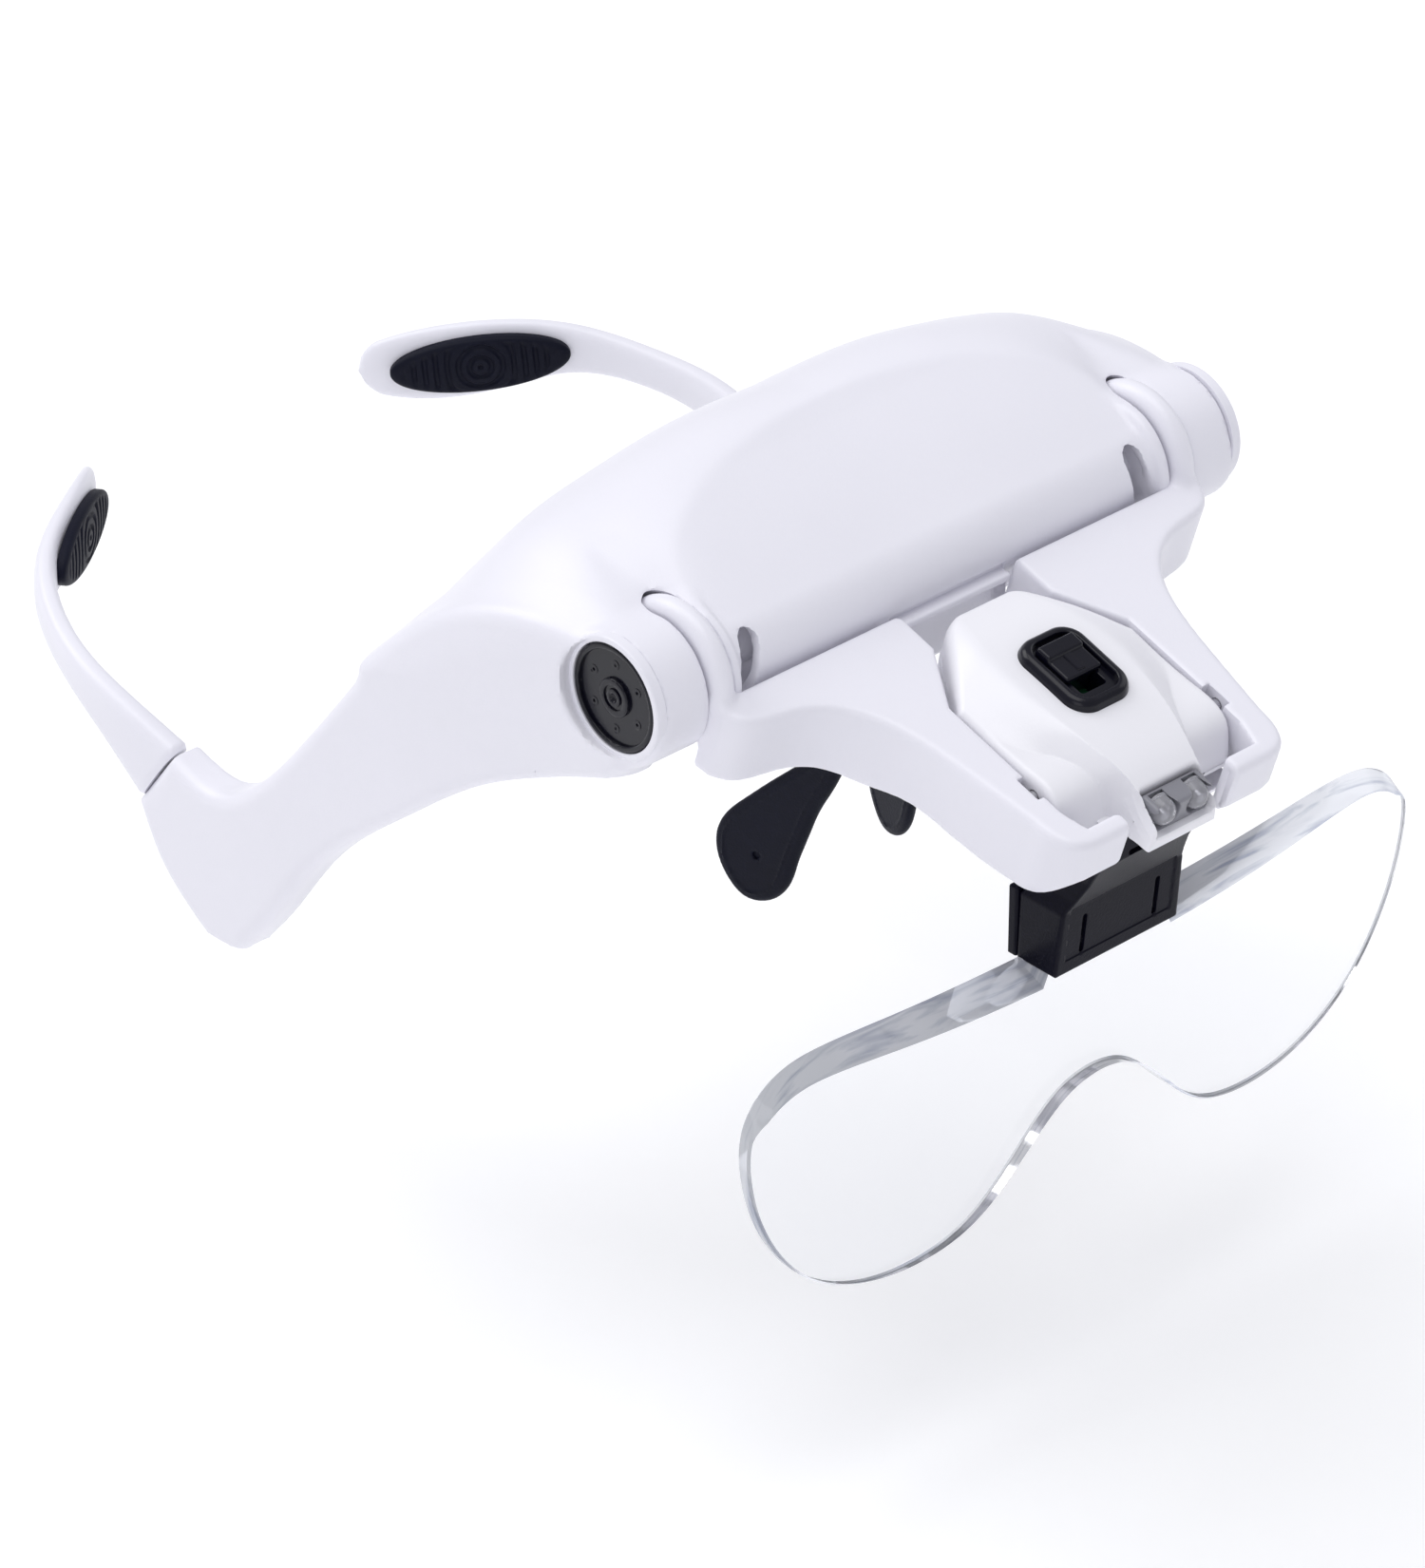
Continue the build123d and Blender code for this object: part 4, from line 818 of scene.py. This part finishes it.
def lens_clip(sx, y, z):
    """Black clip: a jaw over the lens's tab, a waist, and the head that plugs into the bracket."""
    x = np.abs(sx)
    half = np.interp(z, [CLIP_LOW, -43.0, -40.0, -36.0, -33.0], [CLIP_HALF, 14.6, 13.4, 12.2, 12.2])
    solid = smax(clip_side(y, z), x - half, 0.7)
    # raised border round the front panel
    face = y - CLIP_FRONT - 0.15 + 0.104 * (z - CLIP_LOW)
    panel = np.maximum(np.maximum(x - 12.6, np.abs(z + 47.6) - 5.6), face)
    solid = smax(solid, -panel, 0.4)
    jaw = np.maximum(np.maximum(LENS_Y - LENS_THICK - 0.1 - y, z - TAB_TOP), x - 12.4)
    solid = smax(solid, -jaw, 0.4)
    solid = np.maximum(solid, -clip_slits(x, z))
    return np.maximum(solid, -np.maximum(clip_screw_hole(x, z), -92.5 - y))


# ---------- pads
def plane_points(origin, run, out):
    """Function that takes plane points (a, b, c) to the row frame."""
    run, out = np.array(run, float), np.array(out, float)
    run /= np.linalg.norm(run)
    out -= run * out.dot(run)
    out /= np.linalg.norm(out)
    up = np.cross(out, run)
    return lambda p: np.array(origin) + p[:, :1] * run + p[:, 1:2] * up + p[:, 2:] * out


NOSE_LEAF = [(-42.7, -39.2), (-39.7, -46.1), (-37.3, -50.9), (-35, -57.2), (-32.8, -63.8), (-31.7, -67.6),
             (-29.8, -70.9), (-26.5, -73.3), (-22.9, -73.5), (-19.6, -70.9), (-17.3, -66.4), (-17, -61.8),
             (-18.7, -57.5), (-22.4, -53.2), (-27.3, -48.2), (-33.7, -42), (-38.7, -37.8), (-41.9, -37),
             (-42.7, -39.2)]
nose_leaf = profile(spline(NOSE_LEAF, 120)[:-1])


LEAF_X, LEAF_SPLAY, LEAF_HALF = 15.6, 0.26, 1.25


def nose_pad(x, y, z):
    """Leaf of soft plastic with a fine rim and a moulded dimple."""
    edge = nose_leaf(y, z)
    off = x - LEAF_X - LEAF_SPLAY * (y + 28.5)
    body = smax(edge, np.abs(off) - LEAF_HALF, 1.5)
    rim = smax(np.abs(edge + 1.9) - 0.3, np.abs(off) - 1.4, 0.3)
    dimple = np.hypot(y + 25.6, z + 63.6) - 0.8
    return smax(np.minimum(body, rim), -np.maximum(dimple, 0.7 - np.abs(off)), 0.2)


def make(name, sdf, low, high, step, body, material, slot, nodes, to_row=None):
    """Mesh of a distance field between two corners, dressed for the scene."""
    vertices, faces = contour(sdf, low, high, step)
    if to_row:
        vertices = to_row(vertices)
    dress(mesh_object(name, vertices, faces), material, body, slot, *nodes)


def make_pair(name, sdf, low, high, step, bodies, material, slot, node, to_row=None):
    """Left piece and its mirror image, on the bodies of the two sides."""
    vertices, faces = contour(sdf, low, high, step)
    if to_row:
        vertices = to_row(vertices)
    meshes = (vertices, faces), (vertices * [-1, 1, 1], faces[:, ::-1])
    for side, body, mesh in zip(("left_", "right_"), bodies, meshes):
        nodes = [side + node] if node else []
        dress(mesh_object(side + name, *mesh), material, body, slot, *nodes)


# ---------- legs
LEG_ROUTE = [(75.7, 68.05, -64.45), (77.0, 77.5, -58.4), (76.8, 88.0, -54.0), (73.2, 101.0, -51.2),
             (64.4, 115.6, -49.2), (51.0, 126.2, -50.3), (38.6, 136.2, -52.0), (33.2, 141.8, -53.0)]
LEG_THICK = [7.2, 6.0, 5.0, 4.5, 4.2, 4.0, 3.4, 2.8]           # at each point of the route
LEG_HEIGHT = [15.4, 11.6, 9.0, 8.0, 10.4, 15.4, 13.4, 8.6]
LEG_RINGS, TIP_RUN, ROOT_RUN = 110, 4.5, 0.8


def ring_faces(rows, around):
    """Quads between rings of points, and fans from the last two vertices that close both ends."""
    j = np.arange(around)
    k = (j + 1) % around
    starts = [i * around for i in range(rows - 1)]
    corners = [(at + j, at + k, at + around + k, at + around + j) for at in starts]
    first, last, end = rows * around, rows * around + 1, (rows - 1) * around
    caps = [(first, b, a) for a, b in zip(j, k)]
    caps += [(last, end + a, end + b) for a, b in zip(j, k)]
    return np.concatenate([np.stack(ring, axis=1) for ring in corners]), caps


def tube(centres, widths, heights, power, around=40):
    """Closed skin through superellipse rings along a path."""
    runs = np.gradient(centres, axis=0)
    runs /= np.linalg.norm(runs, axis=1)[:, None]
    level = np.cross(runs, [0, 0, 1.0])
    level /= np.linalg.norm(level, axis=1)[:, None]
    up = np.cross(level, runs)
    t = np.linspace(0, 2 * math.pi, around, endpoint=False)
    cu = np.sign(np.cos(t)) * np.abs(np.cos(t)) ** (2 / power)
    cv = np.sign(np.sin(t)) * np.abs(np.sin(t)) ** (2 / power)
    rings = (centres[:, None] + level[:, None] * (cu[None, :, None] * widths[:, None, None] / 2)
             + up[:, None] * (cv[None, :, None] * heights[:, None, None] / 2))
    vertices = np.concatenate([rings.reshape(-1, 3), centres[:1], centres[-1:]])
    return vertices, *ring_faces(len(centres), around)


def leg_skin():
    """Vertices, faces and caps of the left leg."""
    centres = spline(LEG_ROUTE, LEG_RINGS)
    run = np.concatenate([[0], np.cumsum(np.linalg.norm(np.diff(np.array(LEG_ROUTE), axis=0), axis=1))])
    at = np.linspace(0, 1, LEG_RINGS) * run[-1]
    thick, height = [graph(list(zip(run, size)))(at) for size in (LEG_THICK, LEG_HEIGHT)]
    # rounded tip and a softened root
    tip = np.clip((run[-1] - at) / TIP_RUN, 0, 1)
    close = np.sqrt(np.maximum(1 - (1 - tip) ** 2, 0.0004))
    root = np.clip(at / ROOT_RUN, 0, 1)
    ease = 0.9 + 0.1 * np.sqrt(np.maximum(1 - (1 - root) ** 2, 0))
    return tube(centres, thick * (0.3 + 0.7 * close) * ease, height * close * ease, 2.7)


PAD_PLACE, PAD_RUN, PAD_OUT = (50.0, 125.4, -50.3), (-0.785, 0.61, -0.09), (-0.61, -0.785, 0.0)


PAD_LONG, PAD_SHORT, GROOVE_PITCH = 17.5, 5.8, 2.15


def temple_pad(a, b, c):
    """Oval rubber pad with arcs about its middle that straighten into ribs towards its ends."""
    oval = (np.sqrt((a / PAD_LONG) ** 2 + (b / PAD_SHORT) ** 2) - 1) * PAD_SHORT
    wide = np.clip(1.5 - np.abs(a) / 7.0, 0, 1)
    wave = np.clip(np.cos(2 * math.pi * np.hypot(a, b * wide) / GROOVE_PITCH) + 0.25, 0, 1)
    groove = 0.42 * wave * np.clip(-oval / 0.9 - 0.6, 0, 1)
    crown = 3.2 - 0.5 * (b / PAD_SHORT) ** 2 - 0.4 * (a / PAD_LONG) ** 2 - groove
    return smax(smax(oval, c - crown, 1.0), 0.6 - c, 0.2)


# ---------- lens
LENS_TAB = [(0, -46.8), (11.8, -46.8), (11.8, -55.6)]
LENS_TOP_EDGE = [(11.8, -55.6), (30, -55.0), (48, -53.8), (62, -52.8), (72, -54.0)]
LENS_SIDE = [(79.0, -60.0), (80.0, -71), (75.6, -85), (66.8, -97), (53, -104.6), (40, -106.0)]
LENS_NOSE = [(29, -103.4), (19.6, -96), (12, -88.2), (5.6, -84), (0, -83)]
LENS_HEART, LENS_RADIUS, LENS_SLANT, LENS_BEVEL = (0.0, -67.0), 760.0, 2.8, 0.45
def lens_outline(count=360):
    """Closed outline (x, z) of the lens, spaced evenly."""
    tab = [np.linspace(a, b, 12, endpoint=False) for a, b in zip(LENS_TAB, LENS_TAB[1:])]
    side = np.concatenate([*tab, spline(LENS_TOP_EDGE + LENS_SIDE + LENS_NOSE, 500)])
    loop = np.concatenate([side, side[-2:0:-1] * [-1, 1]])
    closed = np.concatenate([loop, loop[:1]])
    run = np.concatenate([[0], np.cumsum(np.linalg.norm(np.diff(closed, axis=0), axis=1))])
    at = np.linspace(0, run[-1], count, endpoint=False)
    even = np.stack([np.interp(at, run, closed[:, i]) for i in range(2)], axis=1)
    for _ in range(3):
        even = (np.roll(even, 1, axis=0) + 2 * even + np.roll(even, -1, axis=0)) / 4
    return even


def lens_front(p):
    """y of the domed front face at points (x, z)."""
    sag = LENS_RADIUS - np.sqrt(LENS_RADIUS ** 2 - p[:, 0] ** 2 - (p[:, 1] - TAB_TOP) ** 2)
    return LENS_Y - LENS_THICK + sag


def lens_mesh():
    """Solid lens: flat rear, domed front and a small polished bevel round both rims."""
    edge, heart = lens_outline(), np.array(LENS_HEART)
    run = np.roll(edge, -1, axis=0) - np.roll(edge, 1, axis=0)
    inward = np.stack([run[:, 1], -run[:, 0]], axis=1) / np.linalg.norm(run, axis=1)[:, None]
    if ((edge + inward - heart) ** 2).sum() > ((edge - heart) ** 2).sum():
        inward = -inward
    # the top wall slants, so the front outline sits lower there
    slant = LENS_SLANT * np.clip((edge[:, 1] + 63.0) / 6.0, 0, 1) * (np.abs(edge[:, 0]) > 15)
    drop = np.column_stack([0 * slant, slant])
    rim, front = edge + inward * LENS_BEVEL, edge - drop

    def ring(p, y):
        return np.column_stack([p[:, 0], y + 0 * p[:, 0], p[:, 1]])

    rows = [ring(heart + (rim - heart) * s, LENS_Y) for s in (0.02, 0.25, 0.5, 0.75, 1.0)]
    wall_start = len(rows) - 1
    rear = LENS_Y - LENS_BEVEL
    rows.append(ring(edge, rear))
    for share in (0.33, 0.67):
        rows.append(ring(edge - drop * share, rear + (lens_front(edge) + LENS_BEVEL - rear) * share))
    rows.append(ring(front, lens_front(front) + LENS_BEVEL))
    wall_end = len(rows) - 1
    for s in np.linspace(1.0, 0.02, 24):
        p = heart + (rim - drop - heart) * s
        rows.append(ring(p, lens_front(p)))
    faces, caps = ring_faces(len(rows), len(edge))
    wall = np.repeat([wall_start <= i <= wall_end for i in range(len(rows) - 1)], len(edge))
    middles = [[heart[0], LENS_Y, heart[1]], [heart[0], lens_front(heart[None])[0], heart[1]]]
    return np.concatenate([*rows, middles]), faces, caps, wall


# ---------- pieces
make("housing_shell", front_shell, (-81.2, -61.5, -91.5), (81.2, 73, 25), 0.7,
     "frame", WHITE, "white_shell", ["front_shell"])
make("rear_cover_shell", rear_cover, (-47, -6, -16), (47, 15, 12.5), 0.5,
     "frame", WHITE, "white_shell", ["rear_cover"])
make("battery_door_shell", battery_door, (-31, -6, -13.5), (31, 8, 10), 0.45,
     "door", WHITE, "white_shell", ["battery_door"])
make_pair("hub_disc", hub_cap, (67, -56.6, -11.1), (70.3, -35.4, 10.1), 0.22,
          ("frame", "frame"), GLOSS_BLACK, "dark_plastic", "hub_cap")
make_pair("hub_collar", hub_collar, (67, -58, -12.6), (70.3, -34, 11.6), 0.22,
          ("frame", "frame"), WHITE, "white_shell", None)
make("bracket_moulding", bracket_shell, (-59, -71, -20), (59, 15, 15), 0.6,
     "bracket", WHITE, "white_shell", ["bracket_shell"], deck_to_row)
make("bracket_plate", bracket_cover, (-25, -63.5, -14), (25, -40, -10.6), 0.45,
     "bracket", WHITE, "white_shell", ["bracket_cover"], deck_to_row)
make("lamp_lid", lamp_cover, (-22, -72.5, -8), (22, -15.5, 8), 0.4,
     "lamp", LAMP_WHITE, "white_shell", ["lamp_cover"], deck_to_row)
make("lamp_tray", lamp_base, (-22, -67, -9), (22, -15.5, 0), 0.45,
     "lamp", LAMP_WHITE, "white_shell", ["lamp_base"], deck_to_row)
make("light_window", lamp_window, (-7.4, -70, -4.2), (7.4, -64, 2.6), 0.2,
     "lamp", WINDOW, "clear", ["lamp_window"], deck_to_row)
make("light_domes", led_body, (-7.2, -72, -4.2), (7.2, -65.6, 3.4), 0.2,
     "lamp", EPOXY, "clear", ["leds"], deck_to_row)
make("light_posts", led_metal, (-6, -70, -1.6), (6, -66, 1.8), 0.1,
     "lamp", STEEL, "steel", [], deck_to_row)
make("switch_surround", switch_bezel, (-8.4, -50.2, 1), (8.4, -28.8, 9.6), 0.25,
     "lamp", GLOSS_BLACK, "dark_plastic", ["switch_bezel"], deck_to_row)
make("switch_button", switch_slider, (-4.8, -42.8, 2), (4.8, -32.8, 9.8), 0.2,
     "switch", GLOSS_BLACK, "dark_plastic", ["switch_slider"], deck_to_row)
make("clip_body", lens_clip, (-16.5, -106.5, -57.5), (16.5, -86.5, -25.2), 0.35,
     "lens_unit", BLACK, "dark_plastic", ["lens_clip"])
make("clip_rear_plate", lens_retainer, (-16.5, -89.5, -57.5), (16.5, -85, -41), 0.35,
     "lens_unit", BLACK, "dark_plastic", ["lens_retainer"])

leg_vertices, leg_faces, leg_caps = leg_skin()
for side, sign in (("left", 1), ("right", -1)):
    leg = mesh_object(side + "_leg_stem", leg_vertices * [sign, 1, 1], leg_faces, leg_caps, 50)
    dress(leg, WHITE, side + "_leg_unit", "white_shell", side + "_leg")
make_pair("temple_rib_pad", temple_pad, (-18.6, -6.8, 0), (18.6, 6.8, 4.4), 0.22,
          ("left_leg_unit", "right_leg_unit"), RUBBER, "soft_pad", "temple_pad",
          plane_points(PAD_PLACE, PAD_RUN, PAD_OUT))
make_pair("nose_leaf", nose_pad, (5, -46, -78), (22, -12, -34), 0.4,
          ("nose_rest", "nose_rest"), RUBBER, "soft_pad", "nose_pad")

lens_points, lens_faces, lens_caps, lens_wall = lens_mesh()
lens = mesh_object("lens_body", lens_points, lens_faces, lens_caps, 30)
dress(lens, ACRYLIC, "lens_unit", "clear", "lens")
lens.data.materials.append(edge_with_painted_glints())
lens_looks = np.concatenate([lens_wall, np.zeros(len(lens_caps), bool)])
lens.data.polygons.foreach_set("material_index", lens_looks.astype(np.int32))

# ---------- camera, floor and light
RIGHT, UP, BACK = (0.7361, -0.6769, 0.0), (0.3587, 0.3901, 0.8480), (-0.5740, -0.6242, 0.5299)
camera = bpy.data.objects.new("camera", bpy.data.cameras.new("camera"))
camera.data.sensor_width = 36.0
camera.data.sensor_fit = "AUTO"
camera.data.lens = 183.27
camera.data.clip_start, camera.data.clip_end = 0.05, 20.0
axes = Matrix((RIGHT, UP, BACK)).transposed().to_4x4()
axes.translation = (-0.8291, -0.8968, 0.6953)
camera.matrix_world = axes
bpy.context.scene.collection.objects.link(camera)
bpy.context.scene.camera = camera
bpy.context.scene.view_settings.view_transform = "Standard"

FLOOR_Z = -0.15
floor_mesh = bpy.data.meshes.new("floor")
floor_corners = [(x, y, FLOOR_Z) for x, y in ((-6, -6), (6, -6), (6, 6), (-6, 6))]
floor_mesh.from_pydata(floor_corners, [], [(0, 1, 2, 3)])
floor = bpy.data.objects.new("floor", floor_mesh)
bpy.context.scene.collection.objects.link(floor)
paper = plastic("floor_paper", (0.95, 0.95, 0.952), 0.8, 0.0, 0.004, specular=0.1)
paper.node_tree.nodes["Principled BSDF"].inputs["Emission Color"].default_value = (1, 1, 1, 1)
paper.node_tree.nodes["Principled BSDF"].inputs["Emission Strength"].default_value = 0.14
floor_mesh.materials.append(paper)

world = bpy.data.worlds.new("studio")
bpy.context.scene.world = world
world.use_nodes = True
world.node_tree.nodes["Background"].inputs["Color"].default_value = (0.93, 0.94, 1.0, 1)
world.node_tree.nodes["Background"].inputs["Strength"].default_value = 0.5


def softbox(name, place, aim, size, power, colour=(1, 1, 1)):
    """Large soft light that faces a point."""
    data = bpy.data.lights.new(name, "AREA")
    data.shape, data.size, data.size_y = "RECTANGLE", *size
    data.energy, data.color = power, colour
    lamp = bpy.data.objects.new(name, data)
    lamp.location = place
    towards = Matrix.Translation(aim).translation - lamp.location
    lamp.rotation_euler = towards.to_track_quat("-Z", "Y").to_euler()
    bpy.context.scene.collection.objects.link(lamp)


softbox("key_light", (-0.45, 1.0, 1.1), (0, 0, -0.05), (1.0, 1.0), 9.0)
softbox("top_light", (-0.2, -0.1, 1.5), (0, 0, -0.05), (1.2, 1.2), 9.5)
softbox("front_light", (-1.1, -1.0, 0.5), (0, 0, -0.05), (0.9, 0.9), 2.4, (0.97, 0.97, 1.0))
softbox("far_light", (1.2, -0.2, 0.7), (0, 0, -0.05), (0.8, 0.8), 1.6, (0.97, 0.98, 1.0))

# ---------- carried-over CAD pieces
for material, names in (
        (WHITE, "left_arm_cover right_arm_cover"),
        (STEEL, "cover_screws left_pivot_pin right_pivot_pin battery_springs battery_tabs"),
        (STEEL, "bracket_screws lamp_pins retainer_screws nose_pin"),
        (CELL, "battery_cells"),
        (BLACK, "battery_tray nose_bridge"),
        (BOARD, "lamp_board")):
    for node in names.split():
        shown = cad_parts[node].data
        shown.materials.clear()
        shown.materials.append(material)
